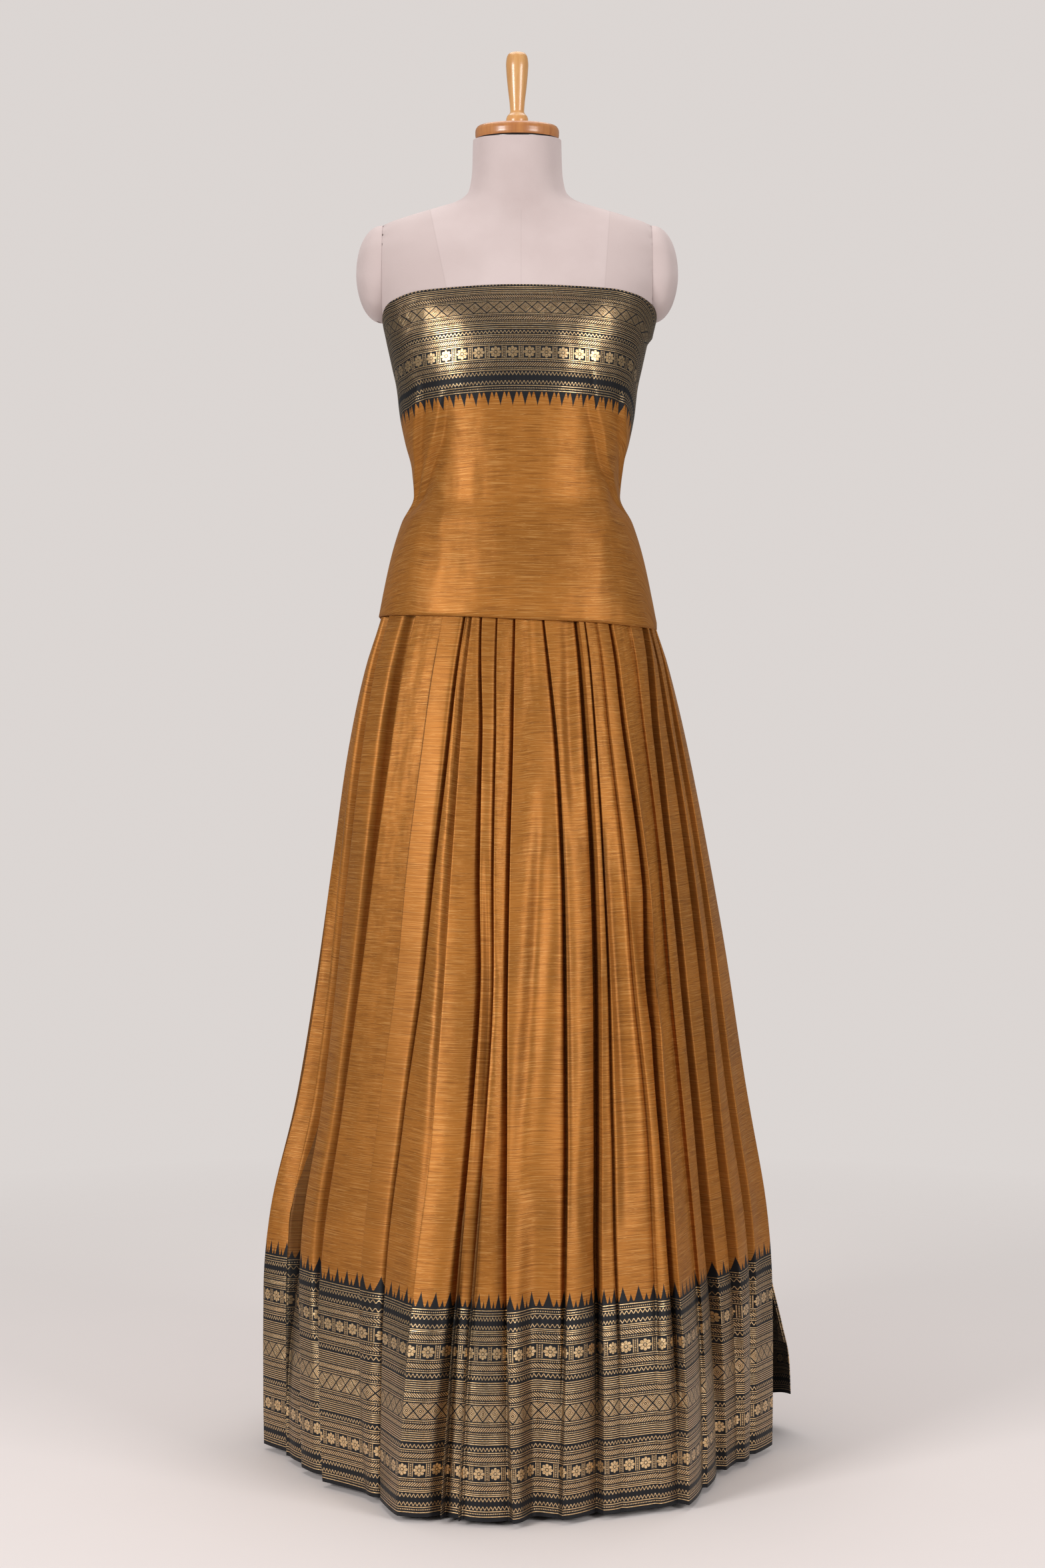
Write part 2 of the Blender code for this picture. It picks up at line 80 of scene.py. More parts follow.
# %% Soft curves through tables
def curve(places, values, where):
    """Values at some places, on a soft curve through a table that never overshoots it."""
    places = np.asarray(places, dtype=float)
    values = np.asarray(values, dtype=float)
    steps = np.diff(places)
    slopes = np.diff(values) / steps
    tangents = np.empty(len(values))
    tangents[0] = slopes[0]
    tangents[-1] = slopes[-1]
    for i in range(1, len(values) - 1):
        before, after = slopes[i - 1], slopes[i]
        if before * after <= 0:
            tangents[i] = 0.0
        else:
            tangents[i] = 2 * before * after / (before + after)
    where = np.clip(np.asarray(where, dtype=float), places[0], places[-1])
    i = np.clip(np.searchsorted(places, where, side="right") - 1, 0, len(steps) - 1)
    share = (where - places[i]) / steps[i]
    rest = 1 - share
    ends = (1 + 2 * share) * rest**2 * values[i] + share**2 * (3 - 2 * share) * values[i + 1]
    bends = share * rest**2 * tangents[i] - share**2 * rest * tangents[i + 1]
    return ends + bends * steps[i]


def read_table(columns, rows):
    """A table as one array for each column's name, with its rows in order of the first column."""
    return dict(zip(columns, np.array(sorted(rows), dtype=float).T))


def at(table, column, where):
    """A column's values at some places of the table's first column."""
    return curve(table[next(iter(table))], table[column], where)


def smooth(share):
    """0 below 0 and 1 above 1, with soft ends between."""
    share = np.clip(share, 0.0, 1.0)
    return share * share * (3 - 2 * share)


# %% Round forms from half widths and depths
SQUARENESS = 2.4


def reach(table, height, angle):
    """How far a form's outline lies from its axis, at each height and angle."""
    turn = np.radians(angle)
    ahead = np.cos(turn)
    front = at(table, "front", height)
    back = at(table, "back", height)
    depth = np.where(ahead > 0, front, back)
    width_term = np.abs(np.sin(turn)) / at(table, "half_width", height)
    depth_term = np.abs(ahead) / depth
    return (width_term**SQUARENESS + depth_term**SQUARENESS) ** (-1 / SQUARENESS)


def around(radius, angle, height, shift=0.0):
    """Points at a radius, an angle from the front, and a height."""
    turn = np.radians(angle)
    height = np.broadcast_to(height, np.shape(radius))
    return np.stack([shift + radius * np.sin(turn), -radius * np.cos(turn), height], axis=-1)


# %% [markdown]
# ## Cloth as a grid
# Cloth is woven in rows and columns, so a grid of points is its natural mesh. The grid also gives
# the cloth's own measure: how far along the loom, and how far from its edge, each point lies. That
# is kept as a UV map in metres, and the weave and the border are laid on it.

# %% Grid to mesh
def cloth_from_grid(name, points, along, across, materials):
    """A cloth object through rows of points, lowest first, with its own measure as a UV map."""
    rows, columns = points.shape[:2]
    number = np.arange(rows * columns).reshape(rows, columns)
    corners = [number[:-1, :-1], number[:-1, 1:], number[1:, 1:], number[1:, :-1]]
    faces = np.stack([corner.ravel() for corner in corners], axis=1)
    mesh = bpy.data.meshes.new(name)
    mesh.from_pydata(points.reshape(-1, 3).tolist(), [], faces.tolist())
    measure = np.stack([along.ravel(), across.ravel()], axis=1)
    layer = mesh.uv_layers.new(name="cloth")
    layer.data.foreach_set("uv", measure[faces.ravel()].astype(np.float32).ravel())
    mesh.shade_smooth()
    for material in materials:
        mesh.materials.append(material)
    cloth = bpy.data.objects.new(name, mesh)
    bpy.context.scene.collection.objects.link(cloth)
    print(name, "has", len(faces), "faces and is", round(float(np.ptp(along)), 3), "m long")
    return cloth


def lengths_between(points, axis):
    """How far each point lies along its row or column, measured over the cloth."""
    steps = np.linalg.norm(np.diff(points, axis=axis), axis=-1)
    start = np.zeros_like(np.take(steps, [0], axis=axis))
    return np.cumsum(np.concatenate([start, steps], axis=axis), axis=axis)


CLOTH_THICKNESS = 0.0009


def give_thickness(cloth):
    """Cloth has a thickness and crisp edges, and its reverse is the second material."""
    mesh = bmesh.new()
    mesh.from_mesh(cloth.data)
    for edge in mesh.edges:
        edge.smooth = not edge.is_boundary
    mesh.to_mesh(cloth.data)
    mesh.free()
    wall = cloth.modifiers.new("thickness", "SOLIDIFY")
    wall.thickness = CLOTH_THICKNESS
    wall.offset = -1.0
    wall.material_offset = 1


# %% [markdown]
# ## Colours worked out by nodes
# A weave or a border is a rule: this far along and this far across, the thread is gold. Blender's
# Math nodes can hold such a rule. A small helper writes one node at a time.

# %% Small helpers for nodes
def calc(tree, operation, *values, clamp=False):
    """One Math node. Each value is a number or another node's output."""
    node = tree.nodes.new("ShaderNodeMath")
    node.operation = operation
    node.use_clamp = clamp
    for socket, value in zip(node.inputs, values):
        if isinstance(value, (int, float)):
            socket.default_value = value
        else:
            tree.links.new(value, socket)
    return node.outputs[0]


def most(tree, *values):
    """The largest of some masks."""
    result = values[0]
    for value in values[1:]:
        result = calc(tree, "MAXIMUM", result, value)
    return result


def both(tree, *values):
    """Where all of some masks hold."""
    result = values[0]
    for value in values[1:]:
        result = calc(tree, "MULTIPLY", result, value)
    return result


def close_to(tree, value, middle, half):
    """1 where a value lies within half of the middle, and 0 elsewhere."""
    return calc(tree, "COMPARE", value, middle, half)


def noise(tree, vector, scale, detail=2.0, roughness=0.5):
    """A Noise node's value."""
    node = tree.nodes.new("ShaderNodeTexNoise")
    node.inputs["Scale"].default_value = scale
    node.inputs["Detail"].default_value = detail
    node.inputs["Roughness"].default_value = roughness
    tree.links.new(vector, node.inputs["Vector"])
    return node.outputs["Fac"]


def stretched(tree, vector, scale, location=(0, 0, 0)):
    """A Mapping node's vector."""
    node = tree.nodes.new("ShaderNodeMapping")
    node.inputs["Scale"].default_value = scale
    node.inputs["Location"].default_value = location
    tree.links.new(vector, node.inputs["Vector"])
    return node.outputs[0]


def spread(tree, value, low, high, to_low=0.0, to_high=1.0):
    """A value's range spread over another range, and held there."""
    node = tree.nodes.new("ShaderNodeMapRange")
    node.inputs["From Min"].default_value = low
    node.inputs["From Max"].default_value = high
    node.inputs["To Min"].default_value = to_low
    node.inputs["To Max"].default_value = to_high
    tree.links.new(value, node.inputs["Value"])
    return node.outputs["Result"]


def mixed(tree, share, first, second, blend="MIX"):
    """A colour between two colours."""
    node = tree.nodes.new("ShaderNodeMix")
    node.data_type = "RGBA"
    node.blend_type = blend
    for socket, value in ((node.inputs[0], share), (node.inputs[6], first), (node.inputs[7], second)):
        if isinstance(value, tuple):
            socket.default_value = (*value, 1.0)
        elif isinstance(value, (int, float)):
            socket.default_value = value
        else:
            tree.links.new(value, socket)
    return node.outputs[2]


def split(tree, vector):
    """The X, Y and Z parts of a vector."""
    node = tree.nodes.new("ShaderNodeSeparateXYZ")
    tree.links.new(vector, node.inputs[0])
    return node.outputs


def on_object(tree):
    """A point's place on its object, in metres."""
    return tree.nodes.new("ShaderNodeTexCoord").outputs["Object"]


def raise_surface(tree, shader, height, strength, distance):
    """Fine relief on a surface, from a mask of heights."""
    node = tree.nodes.new("ShaderNodeBump")
    node.inputs["Strength"].default_value = strength
    node.inputs["Distance"].default_value = distance
    tree.links.new(height, node.inputs["Height"])
    tree.links.new(node.outputs[0], shader.inputs["Normal"])


def set_surface(shader, values):
    """What is the same all over a surface is set on the shader's own sockets."""
    for label, value in values.items():
        shader.inputs[label].default_value = value


def new_group(name, inputs, outputs):
    """A node group with named inputs and outputs, and the nodes that carry them."""
    tree = bpy.data.node_groups.new(name, "ShaderNodeTree")
    for label, kind in inputs:
        tree.interface.new_socket(label, in_out="INPUT", socket_type=kind)
    for label, kind in outputs:
        tree.interface.new_socket(label, in_out="OUTPUT", socket_type=kind)
    return tree, tree.nodes.new("NodeGroupInput").outputs, tree.nodes.new("NodeGroupOutput").inputs


# %% [markdown]
# ## The woven border
# The border of such silk is woven with metal thread on black. Its motifs are old loom patterns:
# plain lines, rows of dots, slanted strokes, zigzags, lozenges and eight-petalled flowers, and a
# row of temple spires where it meets the plain cloth. The border is the same above and below its
# middle row of lozenges, so its chart is written once, as distances from that middle.
# A picture could be laid on the cloth instead, but a rule stays sharp at any size.

# %% Charts of the two borders, in millimetres from the middle of the lozenges
SKIRT_BORDER = {
    "edge": 106.8,
    "lozenge_half": 8.1,
    "pins": (22.3, 24.5, 26.7, 28.9, 31.1),
    "bands": ((16.05, 6.25), (46.05, 6.35), (75.45, 6.0)),
    "teeth": ((34.0, 38.0), (93.6, 97.6), (89.0, 85.0)),
    "flowers": 60.7,
    "flower_half": 6.9,
    "closing_lines": (83.3, 98.9, 104.2),
    "closing_dots": 101.4,
    "spire": 16.1,
    "small_spire": 7.9,
    "spires_above": True,
}
WRAP_BORDER = {
    "edge": 93.35,
    "lozenge_half": 6.4,
    "pins": (17.8, 20.0, 22.5, 24.6),
    "bands": ((12.8, 5.0), (36.7, 5.5), (63.3, 6.2)),
    "teeth": ((26.4, 29.8), (80.7, 84.8), (75.1, 71.0)),
    "flowers": 49.85,
    "flower_half": 6.3,
    "closing_lines": (86.4, 91.8),
    "closing_dots": 89.1,
    "spire": 15.4,
    "small_spire": 7.0,
    "spires_above": False,
}
THREAD = {"line": 0.45, "dot_pitch": 1.9, "dot_size": 0.42, "tooth_pitch": 4.2, "tooth_line": 0.72}
BAND = {"dots_at": 0.66, "dot_high": 0.55, "dot_wide": 0.56}
STROKE = {"pitch": 2.7, "within": 0.36, "wide": 0.69}
FLOWER = {"pitch": 18.4, "radius": 6.2, "petal_pairs": 4.0, "notch": 0.45, "fullness": 0.45, "parted": 0.47}
FLOWER_EYE = {"radius": 1.25, "ring": 1.7, "ring_half": 0.35}
LADDER = {"bars": 2.1, "bar_half": 0.42, "rung_half": 0.75, "rung_pitch": 0.9, "rung_wide": 0.5}
LOZENGE = {"pitch": 14.5, "heart": 0.12, "rings": ((0.34, 0.074), (0.60, 0.070), (0.81, 0.050))}
SPIRE = {"pitch": 14.1, "half": 4.05, "small_half": 1.9, "waist": 1.25}


# %% [markdown]
# Each motif is a few Math nodes. PINGPONG folds the distance along the cloth, so one flower, one
# tooth or one spire is repeated all along.

# %% Motifs of the border
def tooth_row(tree, along, away, point, base):
    """A zigzag line in a row, with its points towards one side."""
    middle = (point + base) / 2
    half = abs(base - point) / 2
    fold = calc(tree, "PINGPONG", along, THREAD["tooth_pitch"] / 2)
    height = calc(tree, "MULTIPLY_ADD", fold, (base - point) / (THREAD["tooth_pitch"] / 2), point)
    line = calc(tree, "COMPARE", away, height, THREAD["tooth_line"])
    return both(tree, line, close_to(tree, away, middle, half))


def dot_row(tree, along, away, middle):
    """A row of small round dots."""
    fold = calc(tree, "PINGPONG", along, THREAD["dot_pitch"] / 2)
    beside = calc(tree, "SUBTRACT", away, middle)
    square = calc(tree, "MULTIPLY", beside, beside)
    total = calc(tree, "MULTIPLY_ADD", fold, fold, square)
    return calc(tree, "LESS_THAN", total, THREAD["dot_size"])


def banded_rows(tree, along, away, bands):
    """The rows that come three times: a line, dots, slanted strokes, dots and a line."""
    nearest = None
    for middle, half in bands:
        offset = calc(tree, "ABSOLUTE", calc(tree, "SUBTRACT", away, middle))
        offset = calc(tree, "MULTIPLY", offset, 1 / half)
        nearest = offset if nearest is None else calc(tree, "MINIMUM", nearest, offset)
    half = bands[1][1]
    lines = close_to(tree, nearest, 1.0, THREAD["line"] / half)
    fold = calc(tree, "PINGPONG", along, THREAD["dot_pitch"] / 2)
    dots = both(
        tree,
        close_to(tree, nearest, BAND["dots_at"], BAND["dot_high"] / half),
        calc(tree, "LESS_THAN", fold, BAND["dot_wide"]),
    )
    slant = calc(tree, "ADD", along, away)
    wave = calc(tree, "PINGPONG", slant, STROKE["pitch"] / 2)
    strokes = both(
        tree,
        calc(tree, "LESS_THAN", nearest, STROKE["within"]),
        calc(tree, "LESS_THAN", wave, STROKE["wide"]),
    )
    return most(tree, lines, dots, strokes)


def flower_row(tree, along, away, middle, half):
    """Eight-petalled flowers, with a ladder between each two."""
    beside = calc(tree, "SUBTRACT", away, middle)
    fold = calc(tree, "PINGPONG", along, FLOWER["pitch"] / 2)
    square = calc(tree, "MULTIPLY", beside, beside)
    radius = calc(tree, "SQRT", calc(tree, "MULTIPLY_ADD", fold, fold, square))
    turn = calc(tree, "ARCTAN2", beside, fold)
    petal = calc(tree, "ABSOLUTE", calc(tree, "COSINE", calc(tree, "MULTIPLY", turn, FLOWER["petal_pairs"])))
    petal = calc(tree, "POWER", petal, FLOWER["fullness"])
    notch = FLOWER["radius"] * FLOWER["notch"]
    tip = calc(tree, "MULTIPLY_ADD", petal, notch, FLOWER["radius"] - notch)
    petals = calc(tree, "LESS_THAN", radius, tip)
    parted = calc(tree, "GREATER_THAN", petal, FLOWER["parted"])
    eye_ring = close_to(tree, radius, FLOWER_EYE["ring"], FLOWER_EYE["ring_half"])
    flower = both(tree, petals, parted, calc(tree, "SUBTRACT", 1.0, eye_ring))
    eye = calc(tree, "LESS_THAN", radius, FLOWER_EYE["radius"])
    row = close_to(tree, beside, 0.0, half)
    gap = FLOWER["pitch"] / 2
    bar = close_to(tree, fold, gap - LADDER["bars"], LADDER["bar_half"])
    rung = both(
        tree,
        close_to(tree, fold, gap, LADDER["rung_half"]),
        calc(tree, "LESS_THAN", calc(tree, "PINGPONG", beside, LADDER["rung_pitch"]), LADDER["rung_wide"]),
    )
    return both(tree, most(tree, flower, eye, bar, rung), row)


def lozenge_row(tree, along, away, half):
    """Lozenges inside lozenges, and the same between them."""
    fold = calc(tree, "PINGPONG", along, LOZENGE["pitch"] / 2)
    far = calc(tree, "MULTIPLY", away, 1 / half)
    size = calc(tree, "MULTIPLY_ADD", fold, 2 / LOZENGE["pitch"], far)
    size = calc(tree, "PINGPONG", size, 1.0)
    heart = calc(tree, "LESS_THAN", size, LOZENGE["heart"])
    rings = [close_to(tree, size, middle, wide) for middle, wide in LOZENGE["rings"]]
    return both(tree, most(tree, heart, *rings), calc(tree, "LESS_THAN", away, half))


def spires(tree, along, beyond, chart):
    """Temple spires that stand on the border's edge, a tall one and a small one in turn."""
    fold = calc(tree, "PINGPONG", along, SPIRE["pitch"] / 2)
    other = calc(tree, "SUBTRACT", SPIRE["pitch"] / 2, fold)
    masks = []
    for place, tall, half in (
        (fold, chart["spire"], SPIRE["half"]),
        (other, chart["small_spire"], SPIRE["small_half"]),
    ):
        left = calc(tree, "MULTIPLY_ADD", beyond, -1 / tall, 1.0, clamp=True)
        wide = calc(tree, "MULTIPLY", calc(tree, "POWER", left, SPIRE["waist"]), half)
        masks.append(calc(tree, "LESS_THAN", place, wide))
    return both(tree, most(tree, *masks), calc(tree, "GREATER_THAN", beyond, 0.0))


# %% [markdown]
# The motifs are put together as a node group with two inputs, how far along and how far across,
# and two outputs, where the cloth is black and where it is gold. Skirt and wound cloth each get
# one, because the two borders have the same motifs at two sizes.

# %% The border as a node group
def make_border(name, chart):
    """A node group that says where the cloth is black and where it is gold."""
    inputs = [("Along", "NodeSocketFloat"), ("Across", "NodeSocketFloat")]
    outputs = [("Black", "NodeSocketFloat"), ("Gold", "NodeSocketFloat")]
    tree, given, result = new_group(name, inputs, outputs)
    along, signed = given["Along"], given["Across"]
    away = calc(tree, "ABSOLUTE", signed)
    gold = [banded_rows(tree, along, away, chart["bands"])]
    for line in (*chart["pins"], *chart["closing_lines"]):
        gold.append(close_to(tree, away, line, THREAD["line"]))
    for point, base in chart["teeth"]:
        gold.append(tooth_row(tree, along, away, point, base))
    gold.append(dot_row(tree, along, away, chart["closing_dots"]))
    gold.append(flower_row(tree, along, away, chart["flowers"], chart["flower_half"]))
    gold.append(lozenge_row(tree, along, away, chart["lozenge_half"]))
    outward = signed if chart["spires_above"] else calc(tree, "MULTIPLY", signed, -1.0)
    within = calc(tree, "LESS_THAN", outward, chart["edge"])
    beyond = calc(tree, "SUBTRACT", outward, chart["edge"])
    tree.links.new(most(tree, within, spires(tree, along, beyond, chart)), result["Black"])
    tree.links.new(both(tree, most(tree, *gold), within), result["Gold"])
    print(name, "has", len(tree.nodes), "nodes")
    return tree


skirt_border = make_border("skirt border", SKIRT_BORDER)
wrap_border = make_border("wound cloth border", WRAP_BORDER)

# %% [markdown]
# ## Slub silk
# The plain cloth is shot silk: golden threads cross dark ones. The cross threads are uneven, with
# thick places that show as short level streaks, dark and pale. Noise stretched along the cloth
# gives such streaks at three sizes. One group makes the colour and the relief for all the cloth.

# %% Slubs as a node group
SLUB_COLUMNS = ("scale", "offset", "detail", "roughness")
SLUB_NOISES = {
    "fine": ((26, 980, 1), (0, 0, 0), 2.0, 0.6),
    "thick": ((18, 540, 1), (7, 3, 0), 2.0, 0.6),
    "fleck": ((130, 1300, 1), (2, 9, 0), 1.0, 0.5),
    "clouds": ((4, 12, 1), (1, 5, 0), 3.0, 0.5),
    "dents": ((34, 20, 1), (4, 6, 0), 1.5, 0.5),
}
DARK_FROM = {"fine": (0.53, 0.66), "thick": (0.58, 0.67)}
PALE_FROM = {"fine": (0.46, 0.34), "fleck": (0.64, 0.72)}
CLOUDS_FROM = (0.35, 0.65)
DENT_HEIGHT = 16.0


def make_slubs():
    """A node group with streaks, flecks and relief of slub silk, from the cloth's own measure."""
    outputs = [
        ("Dark streaks", "NodeSocketFloat"),
        ("Pale streaks", "NodeSocketFloat"),
        ("Clouding", "NodeSocketFloat"),
        ("Relief", "NodeSocketFloat"),
    ]
    tree, given, result = new_group("slub silk", [("Measure", "NodeSocketVector")], outputs)
    made = {}
    for name, row in SLUB_NOISES.items():
        row = dict(zip(SLUB_COLUMNS, row))
        place = stretched(tree, given["Measure"], row["scale"], row["offset"])
        made[name] = noise(tree, place, 1.0, row["detail"], row["roughness"])
    for label, levels in (("Dark streaks", DARK_FROM), ("Pale streaks", PALE_FROM)):
        streaks = [spread(tree, made[name], *low_high) for name, low_high in levels.items()]
        tree.links.new(most(tree, *streaks), result[label])
    tree.links.new(spread(tree, made["clouds"], *CLOUDS_FROM), result["Clouding"])
    threads = calc(tree, "ADD", made["fine"], made["thick"])
    tree.links.new(calc(tree, "MULTIPLY_ADD", made["dents"], DENT_HEIGHT, threads), result["Relief"])
    print("slub silk has", len(tree.nodes), "nodes")
    return tree


slubs = make_slubs()

# %% [markdown]
# ## Cloth material
# One shader holds plain silk, black border and gold thread, chosen by the masks. Gold thread is
# metal, so its mask also makes the surface more metallic and smoother. The soft grey-green glow of
# shot silk at its edges is the shader's sheen.

# %% Cloth material
SILK = {"usual": (0.400, 0.149, 0.025), "dark": (0.190, 0.065, 0.012), "pale": (0.550, 0.275, 0.082)}
SILK_METAL = 0.38
SILK_CLOUDED = 0.82
SILK_STREAKS = {"dark": 0.64, "pale": 0.55}
SILK_ROUGHNESS = {"usual": 0.47, "clouded": 0.05, "gold": -0.16}
SILK_SURFACE = {
    "Specular IOR Level": 0.18,
    "Sheen Weight": 0.04,
    "Sheen Roughness": 0.30,
    "Sheen Tint": (0.50, 0.46, 0.30, 1.0),
}
CLOTH_RELIEF = {"strength": 0.35, "distance": 0.0004}
GOLD_RELIEF = 0.5
GOLD = {"usual": (0.560, 0.342, 0.146), "pale": (0.940, 0.740, 0.480)}
GOLD_METAL = 0.90
GOLD_GLINT = {"scale": (420, 900, 1), "detail": 2.0, "roughness": 0.7, "from": (0.40, 0.72)}
BLACK = (0.0105, 0.0103, 0.0120)
# The reverse of the cloth is this share as bright as its front: painted shade for the inside of the skirt
# and the wound cloth.
REVERSE_PAINTED_SHADE = 0.35
# The wound cloth's gold is this share as bright as the skirt's gold: painted shade, for the dimmer light
# that falls on it.
WRAP_GOLD_PAINTED_SHADE = 0.80
MILLIMETRES = 1000.0


def new_material(name):
    """A material with its node tree and its shader."""
    material = bpy.data.materials.new(name)
    material.use_nodes = True
    tree = material.node_tree
    return material, tree, tree.nodes["Principled BSDF"]


def place_group(tree, group, **links):
    """A node group placed in a material, with its inputs linked."""
    node = tree.nodes.new("ShaderNodeGroup")
    node.node_tree = group
    for label, value in links.items():
        tree.links.new(value, node.inputs[label])
    return node.outputs


def cloth_material(name, border, middle, painted_shade_factor=1.0, gold_painted_shade=1.0):
    """Slub silk with a border whose middle row lies this far across the cloth, in metres."""
    material, tree, shader = new_material(name)
    measure = tree.nodes.new("ShaderNodeUVMap")
    measure.uv_map = "cloth"
    parts = split(tree, measure.outputs[0])
    along = calc(tree, "MULTIPLY", parts["X"], MILLIMETRES)
    across = calc(tree, "MULTIPLY_ADD", parts["Y"], MILLIMETRES, -MILLIMETRES * middle)
    masks = place_group(tree, border, Along=along, Across=across)
    streaks = place_group(tree, slubs, Measure=measure.outputs[0])
    # Painted shade: on the reverse materials, silk, black and gold are all darkened by one factor.
    tone = {key: tuple(value * painted_shade_factor for value in colour) for key, colour in SILK.items()}
    clouded = tuple(value * SILK_CLOUDED for value in tone["usual"])
    silk = mixed(tree, streaks["Clouding"], clouded, tone["usual"])
    for label, key in (("Dark streaks", "dark"), ("Pale streaks", "pale")):
        silk = mixed(tree, calc(tree, "MULTIPLY", streaks[label], SILK_STREAKS[key]), silk, tone[key])
    grains = stretched(tree, measure.outputs[0], GOLD_GLINT["scale"])
    glint = noise(tree, grains, 1.0, GOLD_GLINT["detail"], GOLD_GLINT["roughness"])
    metal = mixed(tree, spread(tree, glint, *GOLD_GLINT["from"]), GOLD["usual"], GOLD["pale"])
    # Painted shade: the gold is darkened on the reverse materials and on the wound cloth.
    metal = mixed(tree, 1.0, metal, (painted_shade_factor * gold_painted_shade,) * 3, "MULTIPLY")
    ground = mixed(tree, masks["Black"], silk, tuple(value * painted_shade_factor for value in BLACK))
    tree.links.new(mixed(tree, masks["Gold"], ground, metal), shader.inputs["Base Color"])
    metallic = calc(tree, "MULTIPLY_ADD", masks["Black"], -SILK_METAL, SILK_METAL)
    metallic = calc(tree, "MULTIPLY_ADD", masks["Gold"], GOLD_METAL, metallic, clamp=True)
    tree.links.new(metallic, shader.inputs["Metallic"])
    rough = SILK_ROUGHNESS["usual"]
    rough = calc(tree, "MULTIPLY_ADD", streaks["Clouding"], SILK_ROUGHNESS["clouded"], rough)
    rough = calc(tree, "MULTIPLY_ADD", masks["Gold"], SILK_ROUGHNESS["gold"], rough)
    tree.links.new(rough, shader.inputs["Roughness"])
    height = calc(tree, "MULTIPLY_ADD", masks["Gold"], GOLD_RELIEF, streaks["Relief"])
    raise_surface(tree, shader, height, **CLOTH_RELIEF)
    set_surface(shader, SILK_SURFACE)
    return material


SKIRT_BORDER_MIDDLE = 0.1090
WRAP_BORDER_MIDDLE = -0.0280
skirt_silk = cloth_material("skirt_silk", skirt_border, SKIRT_BORDER_MIDDLE)
# The reverse materials are darker copies of the front ones: painted shade.
skirt_reverse_painted_shade = cloth_material("skirt_silk_reverse_painted_shade", skirt_border, SKIRT_BORDER_MIDDLE, REVERSE_PAINTED_SHADE)
wrap_silk = cloth_material("wound_silk", wrap_border, WRAP_BORDER_MIDDLE, gold_painted_shade=WRAP_GOLD_PAINTED_SHADE)
wrap_reverse_painted_shade = cloth_material("wound_silk_reverse_painted_shade", wrap_border, WRAP_BORDER_MIDDLE, REVERSE_PAINTED_SHADE)
print("cloth materials:", skirt_silk.name, wrap_silk.name)

# %% [markdown]
# ## The skirt's form
# The skirt is one length of cloth in knife pleats, all turned the same way. Each pleat has an outer
# fold, and its face runs from there to the right and goes under the next fold. The table of
# sections gives the skirt's outline, and a row for each pleat gives where its fold lies at the
# waist, half way and at the hem. A cloth simulation would fall in folds of its own, and these are
# pressed pleats whose places are known, so the folds are laid by their table.

# %% Skirt tables
SKIRT = read_table(
    ("height", "half_width", "front", "back", "shift", "depth", "lean", "spread"),
    [
        (0.006, 0.2865, 0.2930, 0.2900, 0.000, 0.15, -0.004, 1.00),
        (0.060, 0.2872, 0.2915, 0.2895, 0.000, 0.18, -0.004, 1.00),
        (0.115, 0.2868, 0.2890, 0.2875, 0.000, 0.25, -0.003, 1.00),
        (0.180, 0.2835, 0.2830, 0.2825, 0.000, 0.50, -0.001, 0.97),
        (0.260, 0.2730, 0.2720, 0.2720, 0.001, 0.80, 0.001, 0.92),
        (0.400, 0.2525, 0.2480, 0.2480, 0.005, 1.00, 0.001, 0.80),
        (0.540, 0.2315, 0.2210, 0.2230, 0.006, 1.00, 0.001, 0.65),
        (0.670, 0.2110, 0.1970, 0.2010, 0.004, 1.00, 0.001, 0.45),
        (0.790, 0.1905, 0.1710, 0.1750, 0.001, 0.92, 0.001, 0.25),
        (0.880, 0.1700, 0.1470, 0.1500, 0.000, 0.75, 0.001, 0.10),
        (0.935, 0.1525, 0.1280, 0.1290, 0.000, 0.55, 0.000, 0.00),
        (1.000, 0.1385, 0.1070, 0.1080, 0.000, 0.20, 0.000, 0.00),
        (1.070, 0.1105, 0.0860, 0.0820, 0.000, 0.00, -0.002, 0.00),
        (1.100, 0.1150, 0.0880, 0.0835, 0.000, 0.00, -0.002, 0.00),
    ],
)
SWELL = {"height": 0.270, "tall": 0.095, "left": 0.0085, "right": 0.0080, "from": 58, "over": 26}
PLEAT_LEVELS = (0.006, 0.120, 0.260, 0.400, 0.540, 0.670, 0.800, 0.930)
